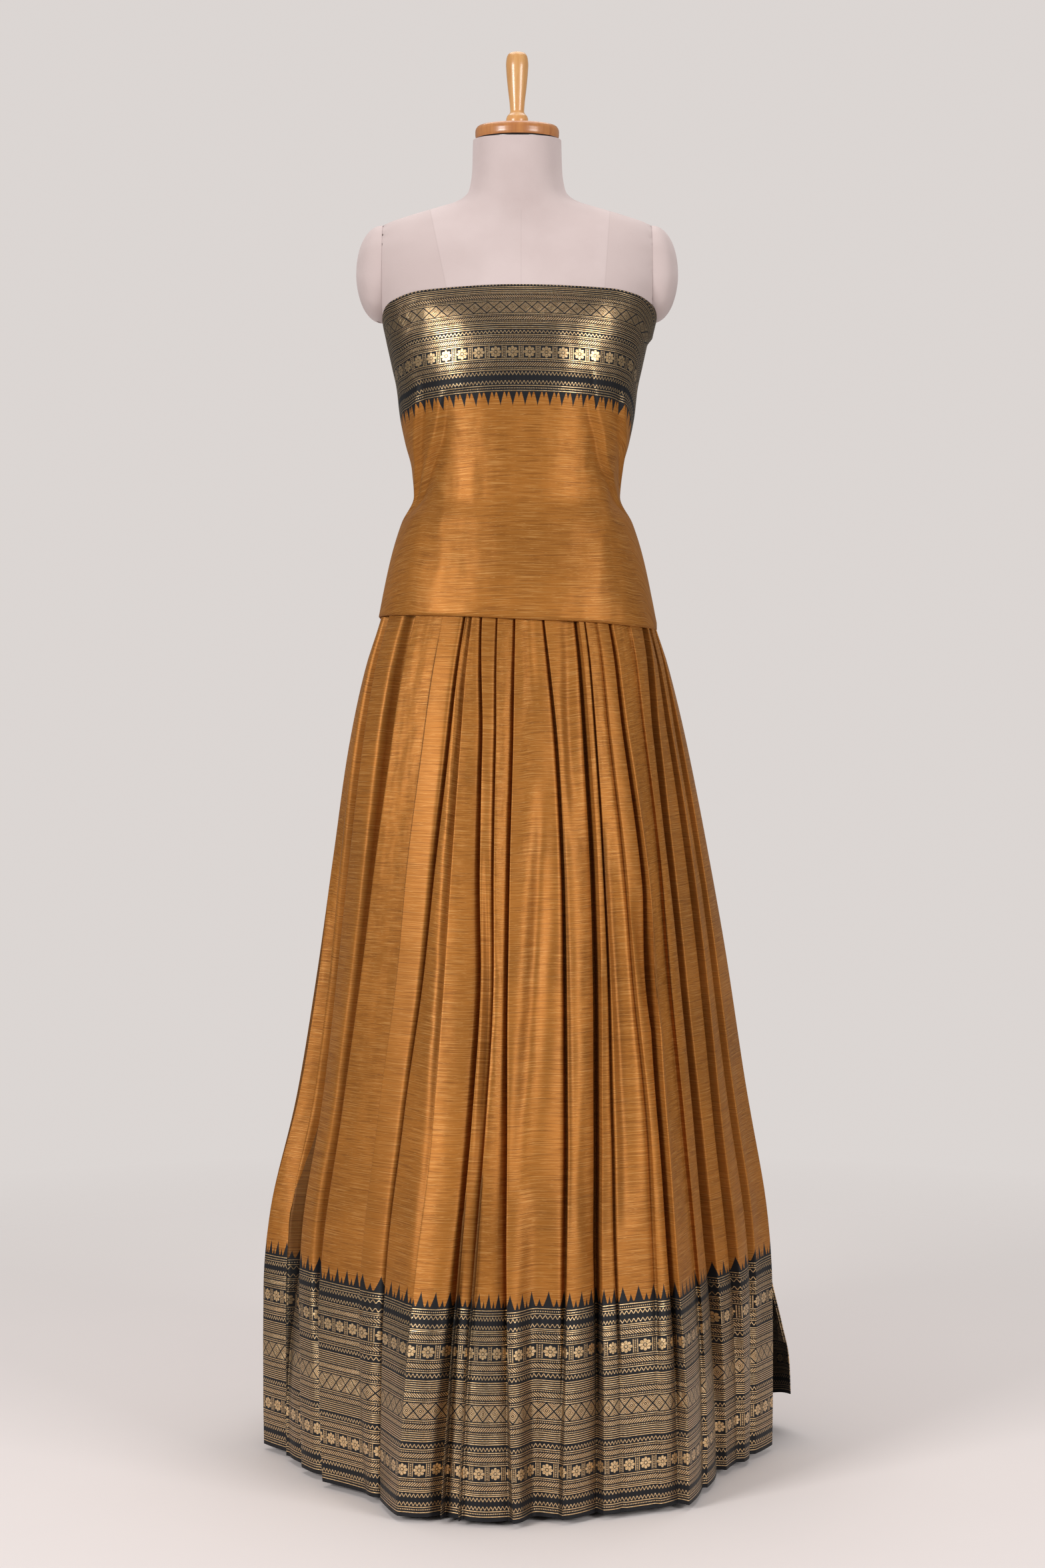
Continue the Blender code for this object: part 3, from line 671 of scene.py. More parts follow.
FRONT_PLEATS = [
    ((-80.9, -83.0, -87.0, -90.0, -90.0, -86.0, -82.0, -82.0), 0.2596, 0.010, 0.003, 0.010, 1.0, 0.0),
    ((-70.0, -72.5, -76.0, -77.0, -75.0, -70.0, -66.5, -67.0), 0.2512, 0.006, 0.002, 0.019, 11.0, 3.6),
    ((-55.9, -58.5, -61.0, -58.5, -55.4, -51.9, -48.8, -48.6), 0.2534, 0.012, 0.002, 0.022, 6.6, 4.4),
    ((-40.1, -42.5, -44.5, -43.5, -41.0, -39.0, -36.0, -35.0), 0.2473, 0.002, 0.001, 0.000, 1.0, 0.0),
    ((-34.3, -34.5, -34.7, -33.6, -30.9, -28.3, -25.4, -24.4), 0.2556, 0.008, 0.002, 0.014, 1.8, 1.2),
    ((-24.8, -23.9, -22.8, -22.0, -22.0, -21.5, -20.8, -21.4), 0.2940, 0.001, 0.003, 0.008, 3.8, 0.4),
    ((-15.6, -14.4, -13.2, -12.2, -11.5, -12.6, -12.8, -16.6), 0.2960, 0.002, 0.009, 0.013, 1.3, 0.5),
    ((-11.6, -10.8, -9.6, -8.8, -8.0, -8.3, -7.9, -9.3), 0.2962, 0.000, 0.006, 0.006, 0.9, 0.0),
    ((-0.7, -1.5, -2.5, -3.5, -4.1, -3.4, -1.7, -0.8), 0.2954, 0.010, 0.008, 0.007, 0.9, 0.0),
    ((9.6, 10.2, 11.0, 11.5, 12.4, 13.8, 14.7, 13.2), 0.2879, 0.004, 0.005, 0.009, 1.0, 0.0),
    ((18.9, 19.2, 19.7, 20.6, 22.5, 24.4, 26.4, 29.0), 0.2781, 0.010, 0.009, 0.012, 1.6, 0.0),
    ((24.2, 23.9, 23.6, 24.0, 25.4, 26.9, 29.0, 32.0), 0.2781, 0.002, 0.002, 0.005, 0.8, 0.0),
    ((32.0, 32.6, 33.3, 33.5, 32.9, 33.7, 34.4, 37.4), 0.2826, 0.003, 0.003, 0.002, 1.5, 0.0),
    ((38.1, 37.9, 37.6, 37.5, 38.9, 40.7, 41.0, 44.5), 0.2923, 0.012, 0.006, 0.011, 1.2, 0.0),
    ((51.0, 50.6, 49.8, 48.0, 47.6, 48.6, 49.6, 54.0), 0.2620, 0.003, 0.004, 0.001, 2.0, 0.0),
    ((66.6, 64.2, 61.2, 57.6, 56.0, 55.8, 57.8, 67.0), 0.2487, 0.010, 0.008, 0.018, 2.4, 0.0),
    ((75.0, 72.4, 69.3, 66.0, 66.4, 66.6, 66.4, 72.4), 0.2590, 0.007, 0.004, 0.011, 1.4, 0.0),
    ((82.5, 82.4, 80.6, 78.4, 76.6, 76.8, 76.4, 79.0), 0.2670, 0.007, 0.004, 0.009, 1.4, 0.0),
]
FRONT_EDGE = ((90.5, 90.5, 90.8, 91.0, 91.5, 92.0, 92.4, 93.0), 0.2865)
BACK_PLEATS = 13
BACK_FIRST = (116.0, 114.0, 111.6, 109.0, 107.2, 107.0, 107.0, 107.0)
BACK_LAST = 266.0
BACK_VARIES = {
    "angle": (0.0, 2.4, 2.2),
    "radius": (0.0, 0.004, 2.9),
    "hem_depth": (0.012, 0.005, 1.7),
    "fall": (0.004, 0.002, 2.5),
    "wall": (0.014, 0.004, 1.3),
    "gap": (1.5, 1.0, 1.9),
}
BACK_END = read_table(
    ("height", "angle", "offset"),
    [
        (0.006, 105.0, 0.0340),
        (0.060, 103.5, 0.0290),
        (0.115, 101.5, 0.0190),
        (0.180, 99.0, 0.0080),
        (0.260, 95.0, -0.0040),
        (0.400, 88.0, -0.0110),
        (0.880, 88.0, -0.0100),
        (0.935, 92.0, -0.0070),
        (1.000, 96.0, -0.0020),
        (1.070, 97.0, 0.0000),
        (1.100, 97.0, 0.0000),
    ],
)
BACK_END_RELEASE = 128.0
HEM_LIFT = 0.036
HEM_LIFT_BELOW = 0.180
SKIRT_TROUGHS = [
    (0.360, -0.360, (-10.5, -16.0, -16.0), 0.0190, 2.4),
    (0.360, -0.360, (3.0, 3.6, 3.6), 0.0200, 1.7),
    (0.760, 0.330, (8.0, 2.6, -1.0), 0.0125, 1.3),
    (0.700, 0.330, (-11.2, -9.9, -10.6), 0.0065, 0.6),
    (0.955, 0.830, (5.2, 5.0, 5.6), 0.0050, 1.0),
    (0.955, 0.700, (24.0, 19.4, 17.6), 0.0060, 1.2),
    (0.780, 0.270, (15.2, 13.2, 11.9), 0.0040, 0.5),
    (0.720, 0.290, (28.6, 27.4, 25.8), 0.0100, 1.2),
    (0.760, 0.330, (43.4, 42.4, 40.4), 0.0090, 1.6),
    (0.640, 0.500, (35.4, 36.4, 37.0), 0.0060, 1.6),
    (0.420, 0.250, (16.0, 15.2, 17.4), 0.0034, 0.9),
    (0.940, 0.640, (70.0, 72.0, 71.5), 0.0040, 1.3),
    (0.880, 0.420, (122.0, 119.0, 122.0), 0.0034, 1.6),
    (0.700, 0.240, (147.0, 144.0, 146.0), 0.0040, 1.7),
    (0.920, 0.540, (166.0, 169.0, 167.0), 0.0030, 1.5),
    (0.640, 0.230, (183.0, 181.0, 185.0), 0.0042, 1.8),
    (0.900, 0.400, (206.0, 203.0, 207.0), 0.0034, 1.4),
    (0.560, 0.220, (228.0, 231.0, 229.0), 0.0038, 1.7),
    (0.860, 0.360, (247.0, 244.0, 246.0), 0.0030, 1.6),
]
print(len(FRONT_PLEATS), "front pleats and", BACK_PLEATS, "at the back")

# %% [markdown]
# All heights are worked out at once: each value below is a row of numbers, one for each height, so
# a fold is a line from hem to waist. hem_depth and fall say how far the face before the fold falls
# in, wall how far it drops behind the fold, gap over how many degrees, and undercut how far it goes
# under the fold.

# %% Where the folds lie
HEM_HEIGHT = 0.006
SKIRT_ROWS = ((HEM_HEIGHT, 0.30, 0.011), (0.30, 0.93, 0.014), (0.935, 1.095, 0.016))
SKIRT_TOP = 1.1
Fold = namedtuple("Fold", "angle radius hem_depth fall wall gap undercut")
heights = np.concatenate([np.arange(*row) for row in SKIRT_ROWS] + [[SKIRT_TOP]])


def route(angles):
    """A fold's angle at every height, from its angles at the levels of the table."""
    return curve(PLEAT_LEVELS, angles, heights)


def swing(angle):
    """How far the back stretch lies out of the usual outline near its free end."""
    share = (BACK_END_RELEASE - angle) / (BACK_END_RELEASE - at(BACK_END, "angle", heights))
    return at(BACK_END, "offset", heights) * smooth(share)


def swell(angle):
    """How far the skirt's sides stand out above the border."""
    tall = np.exp(-(((heights - SWELL["height"]) / SWELL["tall"]) ** 2))
    right = smooth((angle - SWELL["from"]) / SWELL["over"])
    left = smooth((-SWELL["from"] - angle) / SWELL["over"])
    return tall * (SWELL["right"] * right + SWELL["left"] * left)


def opened(angles, hem_radius):
    """A front fold's angle and radius at every height, led to its own radius at the hem."""
    angle = route(angles)
    at_hem = hem_radius / reach(SKIRT, heights[:1], angle[:1])[0]
    return angle, reach(SKIRT, heights, angle) * (1 + spreading * (at_hem - 1)) + swell(angle)


def varied(number, measure):
    """A measure of one back pleat, a little more or less than usual from pleat to pleat."""
    usual, by, pace = BACK_VARIES[measure]
    return usual + by * math.sin(pace * number)


depth = at(SKIRT, "depth", heights)
spreading = at(SKIRT, "spread", heights)
free_end = at(BACK_END, "angle", heights)
flat = 0 * heights
folds = [Fold(free_end, reach(SKIRT, heights, free_end) + swing(free_end), flat, flat, flat, 1.0, 0.0)]
first = route(BACK_FIRST)
for number in range(BACK_PLEATS):
    angle = first + number / (BACK_PLEATS - 1) * (BACK_LAST - first) + varied(number, "angle")
    radius = reach(SKIRT, heights, angle) + swing(angle) + spreading * varied(number, "radius")
    radius += swell(np.where(angle > 180, angle - 360, 0 * angle))
    hem_depth = spreading**2 * varied(number, "hem_depth")
    fall = depth * varied(number, "fall")
    wall = depth * varied(number, "wall")
    folds.append(Fold(angle, radius, hem_depth, fall, wall, varied(number, "gap"), 0.0))
for angles, hem_radius, hem_depth, fall, wall, gap, undercut in FRONT_PLEATS:
    angle, radius = opened(angles, hem_radius)
    hem_depth = spreading**2 * hem_depth
    folds.append(Fold(angle + 360, radius, hem_depth, depth * fall, depth * wall, gap, undercut))
angle, radius = opened(*FRONT_EDGE)
folds.append(Fold(angle + 360, radius, flat, flat, flat, 1.0, 0.0))
print(len(folds), "folds and edges over", len(heights), "heights")

# %% [markdown]
# A face is laid from each fold to the valley under the next. It falls in slowly, and beside the
# next fold it drops behind it like a wall. Columns lie close together at the folds, where the
# cloth bends, and wide apart on the flat of a pleat. A few rounds of smoothing along the rows then
# turn each sharp fold into the small round one that cloth makes.

# %% Laying the pleats
FACE_STEPS = (
    0.0, 0.015, 0.04, 0.08, 0.13, 0.19, 0.26, 0.33, 0.40, 0.47, 0.54, 0.61, 0.68, 0.74, 0.79, 0.83, 0.865,
    0.895, 0.92, 0.94, 0.955, 0.97, 0.985, 1.0,
)
RETURN_STEPS = (0.35, 0.65, 0.85, 0.95)
WIDEST_WALL = 4.0
USUAL_WALL = 1.5
TUCK = 0.20
BOW = {"usual": 2.0, "by": 0.5, "pace": 2.3, "start": 0.6}
FLATNESS = {"waist": 0.45, "more_at_hem": 0.55}
RIPPLE = {"deep": 0.0014, "waist": 0.3, "turns": 9, "turns_by": 2, "pace": 1.9}
TROUGH = {"tail": 2.6, "ends": 0.7}
LEFTMOST = -100
SMOOTHINGS = 2
shift = at(SKIRT, "shift", heights)
lean = at(SKIRT, "lean", heights)


def troughs(angle):
    """How far the skirt's soft troughs draw the cloth in along a column."""
    total = 0 * heights
    turned = (np.asarray(angle) - LEFTMOST) % 360 + LEFTMOST
    for top, bottom, angles, deep, wide in SKIRT_TROUGHS:
        share = np.clip((top - heights) / (top - bottom), 0, 1)
        middle = curve((0.0, 0.5, 1.0), angles, share)
        beside = (turned - middle) / wide
        beside = np.where(beside > 0, beside / TROUGH["tail"], beside)
        total += deep * np.sin(np.pi * share) ** TROUGH["ends"] * np.exp(-(beside**2))
    return total


def ripple(share, number):
    """How far a slow unevenness lifts one pleat's face along a column."""
    turns = RIPPLE["turns"] + RIPPLE["turns_by"] * math.sin(number)
    wave = math.sin(math.pi * share) * np.sin(heights * turns + RIPPLE["pace"] * number)
    return RIPPLE["deep"] * (RIPPLE["waist"] + spreading) * wave


def face_points(here, there, last, number):
    """Columns of points over one pleat's face, and back out to the next fold."""
    valley = there.angle + (0 if last else np.degrees((lean + TUCK * there.wall) / there.radius))
    bow = BOW["usual"] + BOW["by"] * math.sin(BOW["pace"] * number + BOW["start"])
    wall_width = there.gap if there.gap < WIDEST_WALL else USUAL_WALL
    start = around(here.radius, here.angle, heights, shift)
    end = around(there.radius, valley, heights, shift)
    columns = []
    for share in FACE_STEPS:
        angle = here.angle + share * (valley - here.angle)
        radius = here.radius + share * (there.radius - here.radius)
        usual = (1 - share) * reach(SKIRT, heights, here.angle) + share * reach(SKIRT, heights, there.angle)
        bent = around(radius + reach(SKIRT, heights, angle) - usual, angle, heights, shift)
        straight = start + share * (end - start)
        flatness = (FLATNESS["waist"] + FLATNESS["more_at_hem"] * spreading)[:, None]
        point = bent + flatness * (straight - bent)
        past = angle - there.angle + there.gap
        dropped = smooth(past / wall_width)
        inward = (there.hem_depth + there.fall) * share**bow + there.wall * dropped
        inward += troughs(angle) - ripple(share, number)
        back = depth * there.undercut * dropped * (1 - smooth((past - wall_width) / there.gap))
        turn = np.radians(angle)
        way = np.stack([np.cos(turn), np.sin(turn), 0 * turn], axis=1)
        aside = (back * np.radians(1.0) * radius)[:, None] * way
        columns.append(point - around(inward, angle, 0.0) - aside)
    if not last:
        first = columns[-1]
        fold = around(there.radius, there.angle, heights, shift)
        columns += [first + share * (fold - first) for share in RETURN_STEPS]
    return columns


columns = []
first_columns = []
for number, (here, there) in enumerate(zip(folds[:-1], folds[1:])):
    first_columns.append(len(columns))
    columns += face_points(here, there, there is folds[-1], number)
grid = np.stack(columns, axis=1)
for _ in range(SMOOTHINGS):
    grid[:, 1:-1] = 0.25 * grid[:, :-2] + 0.5 * grid[:, 1:-1] + 0.25 * grid[:, 2:]
print("skirt grid:", grid.shape[0], "rows of", grid.shape[1], "columns")

# %% [markdown]
# The skirt is cut at the left side into the two stretches of the solid model. The measure along
# the cloth is taken at the hem, where the pleats are open, and the measure across it is the way up
# from the hem. The hem of the back stretch is lifted a little at its free end.

# %% Skirt back and front
CUT_PAST_FOLD = 3


def stretch_of_skirt(name, columns):
    """One stretch of the skirt, from a run of the grid's columns."""
    rows = (slice(None), columns)
    piece = cloth_from_grid(name, grid[rows], along[rows], across[rows], [skirt_silk, skirt_reverse_painted_shade])
    give_thickness(piece)
    return piece


along = np.broadcast_to(lengths_between(grid, 1)[0], grid.shape[:2]).copy()
across = lengths_between(grid, 0)
turned_from = np.degrees(np.arctan2(grid[..., 0], -grid[..., 1])) % 360
is_back = np.arange(grid.shape[1]) < first_columns[BACK_PLEATS]
lift = HEM_LIFT * smooth(1 - (heights - HEM_HEIGHT) / HEM_LIFT_BELOW)[:, None]
lift = lift * smooth((BACK_END_RELEASE - turned_from) / (BACK_END_RELEASE - free_end[:, None])) * is_back
grid[..., 2] += lift
cut = first_columns[BACK_PLEATS] + CUT_PAST_FOLD
skirt_back = stretch_of_skirt("skirt_back_cloth", slice(None, cut + 1))
skirt_front = stretch_of_skirt("skirt_front_cloth", slice(cut, None))

# %% [markdown]
# At the free end of the back stretch a small corner is turned over, so that the right side of the
# cloth shows on it.

# %% Turned corner
CORNER_LEVELS = (0.078, 0.115, 0.182)
CORNER_WIDTHS = (0.0150, 0.0095, 0.0015)
CORNER_STEPS = 5
CORNER_GAP = 0.0012
INNER_COLUMN = 6


def turned_corner():
    """The corner of the back stretch's free edge, folded back on its inner side."""
    rows = np.flatnonzero((heights >= CORNER_LEVELS[0]) & (heights <= CORNER_LEVELS[-1]))
    edge = grid[rows, 0]
    into = grid[rows, INNER_COLUMN] - edge
    into /= np.linalg.norm(into, axis=1)[:, None]
    inward = np.stack([into[:, 1], -into[:, 0], 0 * into[:, 0]], axis=1)
    inward *= -np.sign((inward[:, :2] * edge[:, :2]).sum(axis=1))[:, None]
    wide = curve(CORNER_LEVELS, CORNER_WIDTHS, heights[rows])
    steps = np.linspace(0, 1, CORNER_STEPS)
    points = edge[:, None] + steps[None, :, None] * (into * wide[:, None])[:, None]
    points += inward[:, None] * (CLOTH_THICKNESS + CORNER_GAP)
    measure = along[rows, 0][:, None] - steps[None, :] * wide[:, None]
    level = np.broadcast_to(across[rows, 0][:, None], measure.shape)
    return cloth_from_grid("skirt_turned_corner", points, measure, level, [skirt_silk, skirt_silk])


skirt_corner = turned_corner()
give_thickness(skirt_corner)

# %% [markdown]
# ## The wound cloth
# The second stretch goes round the bust, is drawn in at the waist and ends in a turned edge over
# the hip. It is close to the form, so its sections follow the form's. Where it is drawn in, soft
# tucks run down to the waist at both sides.

# %% Tables of the wound cloth
WRAP = read_table(
    ("height", "half_width", "front", "back"),
    [
        (0.928, 0.1565, 0.1325, 0.1335),
        (1.000, 0.1420, 0.1220, 0.1170),
        (1.040, 0.1300, 0.1130, 0.1020),
        (1.070, 0.1160, 0.1060, 0.0890),
        (1.100, 0.1180, 0.1060, 0.0870),
        (1.130, 0.1255, 0.1080, 0.0900),
        (1.160, 0.1315, 0.1110, 0.0945),
        (1.190, 0.1350, 0.1145, 0.0990),
        (1.215, 0.1404, 0.1165, 0.1022),
        (1.240, 0.1459, 0.1166, 0.1041),
        (1.260, 0.1504, 0.1140, 0.1058),
        (1.285, 0.1590, 0.1058, 0.1048),
        (1.315, 0.1650, 0.0910, 0.1000),
    ],
)
WRAP_TOP = read_table(
    ("angle", "height"),
    [
        (-105, 1.253), (-88, 1.256), (-78, 1.268), (-66, 1.283), (-50, 1.293), (0, 1.298), (50, 1.295),
        (62, 1.290), (72, 1.281), (82, 1.267), (92, 1.255), (105, 1.253), (125, 1.268), (180, 1.278),
        (235, 1.268), (255, 1.253), (272, 1.256), (282, 1.268),
    ],
)
WRAP_LOW = read_table(
    ("angle", "height"),
    [
        (-105, 0.933), (-60, 0.938), (-30, 0.937), (0, 0.934), (30, 0.931), (60, 0.925), (90, 0.921),
        (180, 0.926), (270, 0.934),
    ],
)
WRAP_SIDE_SEAM = 96.0
WRAP_CREASES = [
    (1.085, 0.935, 62, 40, -0.0030, 10),
    (1.085, 0.935, -62, -42, -0.0030, 10),
    (1.060, 0.950, -30, -26, 0.0016, 12),
    (1.055, 0.960, 10, 22, 0.0016, 12),
    (1.225, 1.110, -8, -4, 0.0018, 14),
    (1.110, 1.030, -25, 20, 0.0014, 12),
    (1.180, 1.050, 215, 235, 0.0030, 6),
    (1.190, 1.060, 145, 122, 0.0032, 6),
    (1.080, 0.950, 176, 190, 0.0018, 10),
]
WRAP_TUCKS = [
    (1, (1.040, 1.072, 1.108, 1.160, 1.200), (-82, -77, -68, -58, -54), 0.0090, 9, 3.5),
    (1, (1.050, 1.074, 1.114, 1.132, 1.185), (-74, -67, -54, -48, -40), 0.0095, 10, 3.5),
    (-1, (1.045, 1.067, 1.085, 1.111, 1.133, 1.162, 1.205), (80, 73, 64, 54, 50, 44, 40), 0.0100, 10, 3.5),
    (-1, (1.070, 1.096, 1.129, 1.156, 1.195), (90, 84, 71, 64, 60), 0.0085, 8, 3.5),
    (1, (0.950, 1.005, 1.063, 1.100), (36, 40, 53, 60), 0.0080, 16, 14),
    (-1, (0.960, 1.015, 1.063, 1.090), (-34, -37, -42, -46), 0.0070, 16, 14),
    (1, (1.040, 1.070, 1.120, 1.190), (118, 126, 140, 150), 0.0060, 10, 4),
    (-1, (1.045, 1.075, 1.130, 1.185), (244, 234, 218, 208), 0.0060, 10, 4),
    (1, (0.960, 1.020, 1.075), (196, 202, 214), 0.0040, 14, 6),
]


# %% Laying the wound cloth
LIP = {"out": 0.0042, "from": 66, "to": 118, "ends": 16, "above": 1.240, "rise": 0.008}
TUCK_ENDS = 0.7
TUCK_CREST = 0.0011
WRAP_MEASURED = 1.210
WRAP_USUAL_RADIUS = 0.13
WRAP_ROWS = 92
WRAP_COLUMN = 0.9
UNDER_TURN = ((-0.0006, 0.0012), (-0.0009, 0.0020), (0.0010, 0.0026), (0.0060, 0.0027), (0.0160, 0.0027))
BORDER_DROPS = ((-1, 62, 22, 0.012), (1, 62, 22, -0.011), (1, 150, 114, 0.023))


def creases(height, angle, table):
    """How far soft troughs draw the cloth in at each place."""
    total = np.zeros_like(height)
    for top, bottom, top_angle, bottom_angle, deep, wide in table:
        share = (top - height) / (top - bottom)
        middle = top_angle + share * (bottom_angle - top_angle)
        ends = np.where((share > 0) & (share < 1), np.sin(np.pi * np.clip(share, 0, 1)), 0)
        total += deep * ends * np.exp(-(((angle - middle) / wide) ** 2))
    return total


def tucks(height, angle):
    """How far small tucks draw the cloth in, beside the fold line of each."""
    total = np.zeros_like(height)
    for way, levels, angles, deep, wide, edge in WRAP_TUCKS:
        beside = way * (angle - curve(levels, angles, height))
        share = np.clip((height - levels[0]) / (levels[-1] - levels[0]), 0, 1)
        ends = np.sin(np.pi * share) ** TUCK_ENDS
        fall = smooth(beside / edge) * np.exp(-np.maximum(beside, 0) / wide)
        total += ends * (deep * fall - TUCK_CREST * np.exp(-((beside / edge) ** 2)))
    return total


def wound_radius(height, angle):
    """The wound cloth's outline, with its lip at the top right, its creases and its tucks."""
    lip = LIP["out"] * smooth((angle - LIP["from"]) / LIP["ends"])
    lip = lip * smooth((LIP["to"] - angle) / LIP["ends"]) * smooth((height - LIP["above"]) / LIP["rise"])
    drawn = creases(height, angle, WRAP_CREASES) + tucks(height, angle)
    return reach(WRAP, height, angle) + lip - drawn


def way_round(angle):
    """The measure along the wound cloth, from the middle of the front round to the back."""
    places = np.arange(-WRAP_SIDE_SEAM, 360 - WRAP_SIDE_SEAM + 0.5, 0.5)
    ring = around(reach(WRAP, WRAP_MEASURED, places), places, WRAP_MEASURED + 0 * places)
    steps = np.linalg.norm(np.diff(ring, axis=0), axis=1)
    lengths = np.concatenate([[0.0], np.cumsum(steps)])
    return np.interp(angle, places, lengths) - math.radians(WRAP_SIDE_SEAM) * WRAP_USUAL_RADIUS


def wound_cloth(name, first, last):
    """The wound cloth between two angles, from its turned lower edge to its top."""
    angles = np.linspace(first, last, int((last - first) / WRAP_COLUMN))
    top = at(WRAP_TOP, "height", angles)
    share = np.linspace(0, 1, WRAP_ROWS)[:, None]
    low = at(WRAP_LOW, "height", angles)
    height = low + share * (top - low)
    angle = np.broadcast_to(angles, height.shape)
    radius = wound_radius(height, angle)
    rows = around(radius, angle, height)
    under = []
    for rise, inward in reversed(UNDER_TURN):
        level = height[0] + rise
        under.append(around(wound_radius(level, angle[0]) - inward, angle[0], level))
    points = np.concatenate([np.stack(under), rows])
    down = lengths_between(points[::-1], 0)[::-1]
    measure = np.broadcast_to(way_round(angles), down.shape)
    for side, begins, over, drop in BORDER_DROPS:
        down = down + drop * smooth((side * angles - begins) / over)
    piece = cloth_from_grid(name, points, measure, -down, [wrap_silk, wrap_reverse_painted_shade])
    give_thickness(piece)
    return piece


wrap_front = wound_cloth("wrap_front_cloth", -WRAP_SIDE_SEAM, WRAP_SIDE_SEAM)
wrap_back = wound_cloth("wrap_back_cloth", WRAP_SIDE_SEAM, 360 - WRAP_SIDE_SEAM)

# %% [markdown]
# ## The padded form
# The form is a padded torso under a tight, velvety cover. It is a smooth body, so it is laid from
# the same kind of table, with a row every few millimetres.

# %% Torso table
TORSO = read_table(
    ("height", "half_width", "front", "back"),
    [
        (0.800, 0.104, 0.070, 0.078), (0.806, 0.126, 0.086, 0.096), (0.825, 0.137, 0.095, 0.106),
        (0.870, 0.142, 0.101, 0.112), (0.935, 0.139, 0.100, 0.108), (1.000, 0.127, 0.094, 0.095),
        (1.040, 0.1150, 0.0880, 0.0860), (1.070, 0.1085, 0.0840, 0.0800), (1.100, 0.1130, 0.0860, 0.0815),
        (1.130, 0.1225, 0.0930, 0.0860), (1.160, 0.1290, 0.1020, 0.0915), (1.190, 0.1325, 0.1100, 0.0965),
        (1.215, 0.1385, 0.1140, 0.1000), (1.240, 0.1440, 0.1145, 0.1020), (1.260, 0.1480, 0.1110, 0.1030),
        (1.285, 0.1600, 0.1030, 0.1020), (1.315, 0.1700, 0.0880, 0.0970), (1.345, 0.1700, 0.0730, 0.0850),
        (1.362, 0.1630, 0.0620, 0.0730), (1.374, 0.1500, 0.0530, 0.0620), (1.384, 0.1230, 0.0480, 0.0560),
        (1.393, 0.0920, 0.0470, 0.0530), (1.401, 0.0660, 0.0480, 0.0520), (1.412, 0.0545, 0.0490, 0.0500),
        (1.435, 0.0505, 0.0485, 0.0485), (1.469, 0.0495, 0.0480, 0.0480),
    ],
)
SHOULDER_PLANE = 0.150
TORSO_TOP = 1.469
TORSO_LEVELS = ((0.800, 1.250, 0.010), (1.250, TORSO_TOP, 0.004))
TORSO_COLUMN = 2.5
print("torso table has", len(TORSO["height"]), "rows")

# %% Velvet cover
SEAM_HALF = 0.0007
PRINCESS_SEAMS = ((-1, -0.0960, 1.384, -0.0770, 1.294), (1, 0.1030, 1.384, 0.0960, 1.294))
MIDDLE_SEAM = {"place": 0.0045, "half": 0.6 * SEAM_HALF, "top": 1.386}
COVER_TOP = 1.390
VELVET = {
    "usual": (0.535, 0.430, 0.412),
    "worn": (0.590, 0.482, 0.464),
    "side": (0.455, 0.355, 0.335),
    "seam": (0.330, 0.250, 0.235),
}
VELVET_SHOWS = {"pile": 0.25, "side": 0.32, "seam": 0.16}
VELVET_PILE = {"scale": 900.0, "detail": 3.0, "roughness": 0.7}
VELVET_CLOUDS = {"scale": 14.0, "detail": 3.0, "roughness": 0.5}
VELVET_RELIEF = {"strength": 0.30, "distance": 0.0006}
SEAM_DEPTH = -0.6
VELVET_SURFACE = {
    "Roughness": 0.9,
    "Specular IOR Level": 0.15,
    "Sheen Weight": 0.35,
    "Sheen Roughness": 0.5,
    "Sheen Tint": (0.95, 0.86, 0.84, 1.0),
}


def velvet_material(name):
    """A matt cover with a short soft pile, in panels with seams between them."""
    material, tree, shader = new_material(name)
    place = on_object(tree)
    parts = split(tree, place)
    pile = noise(tree, place, *VELVET_PILE.values())
    clouds = noise(tree, place, *VELVET_CLOUDS.values())
    seams = [close_to(tree, calc(tree, "ABSOLUTE", parts["X"]), SHOULDER_PLANE, SEAM_HALF)]
    sides = []
    for side, top_x, top, low_x, low in PRINCESS_SEAMS:
        slope = (top_x - low_x) / (top - low)
        line = calc(tree, "MULTIPLY_ADD", parts["Z"], slope, top_x - slope * top)
        seams.append(close_to(tree, parts["X"], line, SEAM_HALF))
        beyond = calc(tree, "MULTIPLY", calc(tree, "SUBTRACT", parts["X"], line), side)
        sides.append(calc(tree, "GREATER_THAN", beyond, 0.0))
    middle = close_to(tree, parts["X"], MIDDLE_SEAM["place"], MIDDLE_SEAM["half"])
    seams.append(both(tree, middle, calc(tree, "LESS_THAN", parts["Z"], MIDDLE_SEAM["top"])))
    body = calc(tree, "LESS_THAN", parts["Z"], COVER_TOP)
    seam = both(tree, most(tree, *seams), body)
    side = both(tree, most(tree, *sides), body)
    colour = mixed(tree, spread(tree, clouds, 0.35, 0.65), VELVET["usual"], VELVET["worn"])
    pile_shows = calc(tree, "MULTIPLY", spread(tree, pile, 0.3, 0.7), VELVET_SHOWS["pile"])
    colour = mixed(tree, pile_shows, colour, VELVET["worn"])
    for key, mask in (("side", side), ("seam", seam)):
        colour = mixed(tree, calc(tree, "MULTIPLY", mask, VELVET_SHOWS[key]), colour, VELVET[key])
    tree.links.new(colour, shader.inputs["Base Color"])
    height = calc(tree, "MULTIPLY_ADD", seam, SEAM_DEPTH, pile)
    raise_surface(tree, shader, height, **VELVET_RELIEF)
    set_surface(shader, VELVET_SURFACE)
    return material


velvet = velvet_material("velvet_cover")
print(velvet.name, "has", len(velvet.node_tree.nodes), "nodes")

# %% Torso
WELD_DISTANCE = 0.00001
SHARP_PAD_EDGE = math.radians(50)


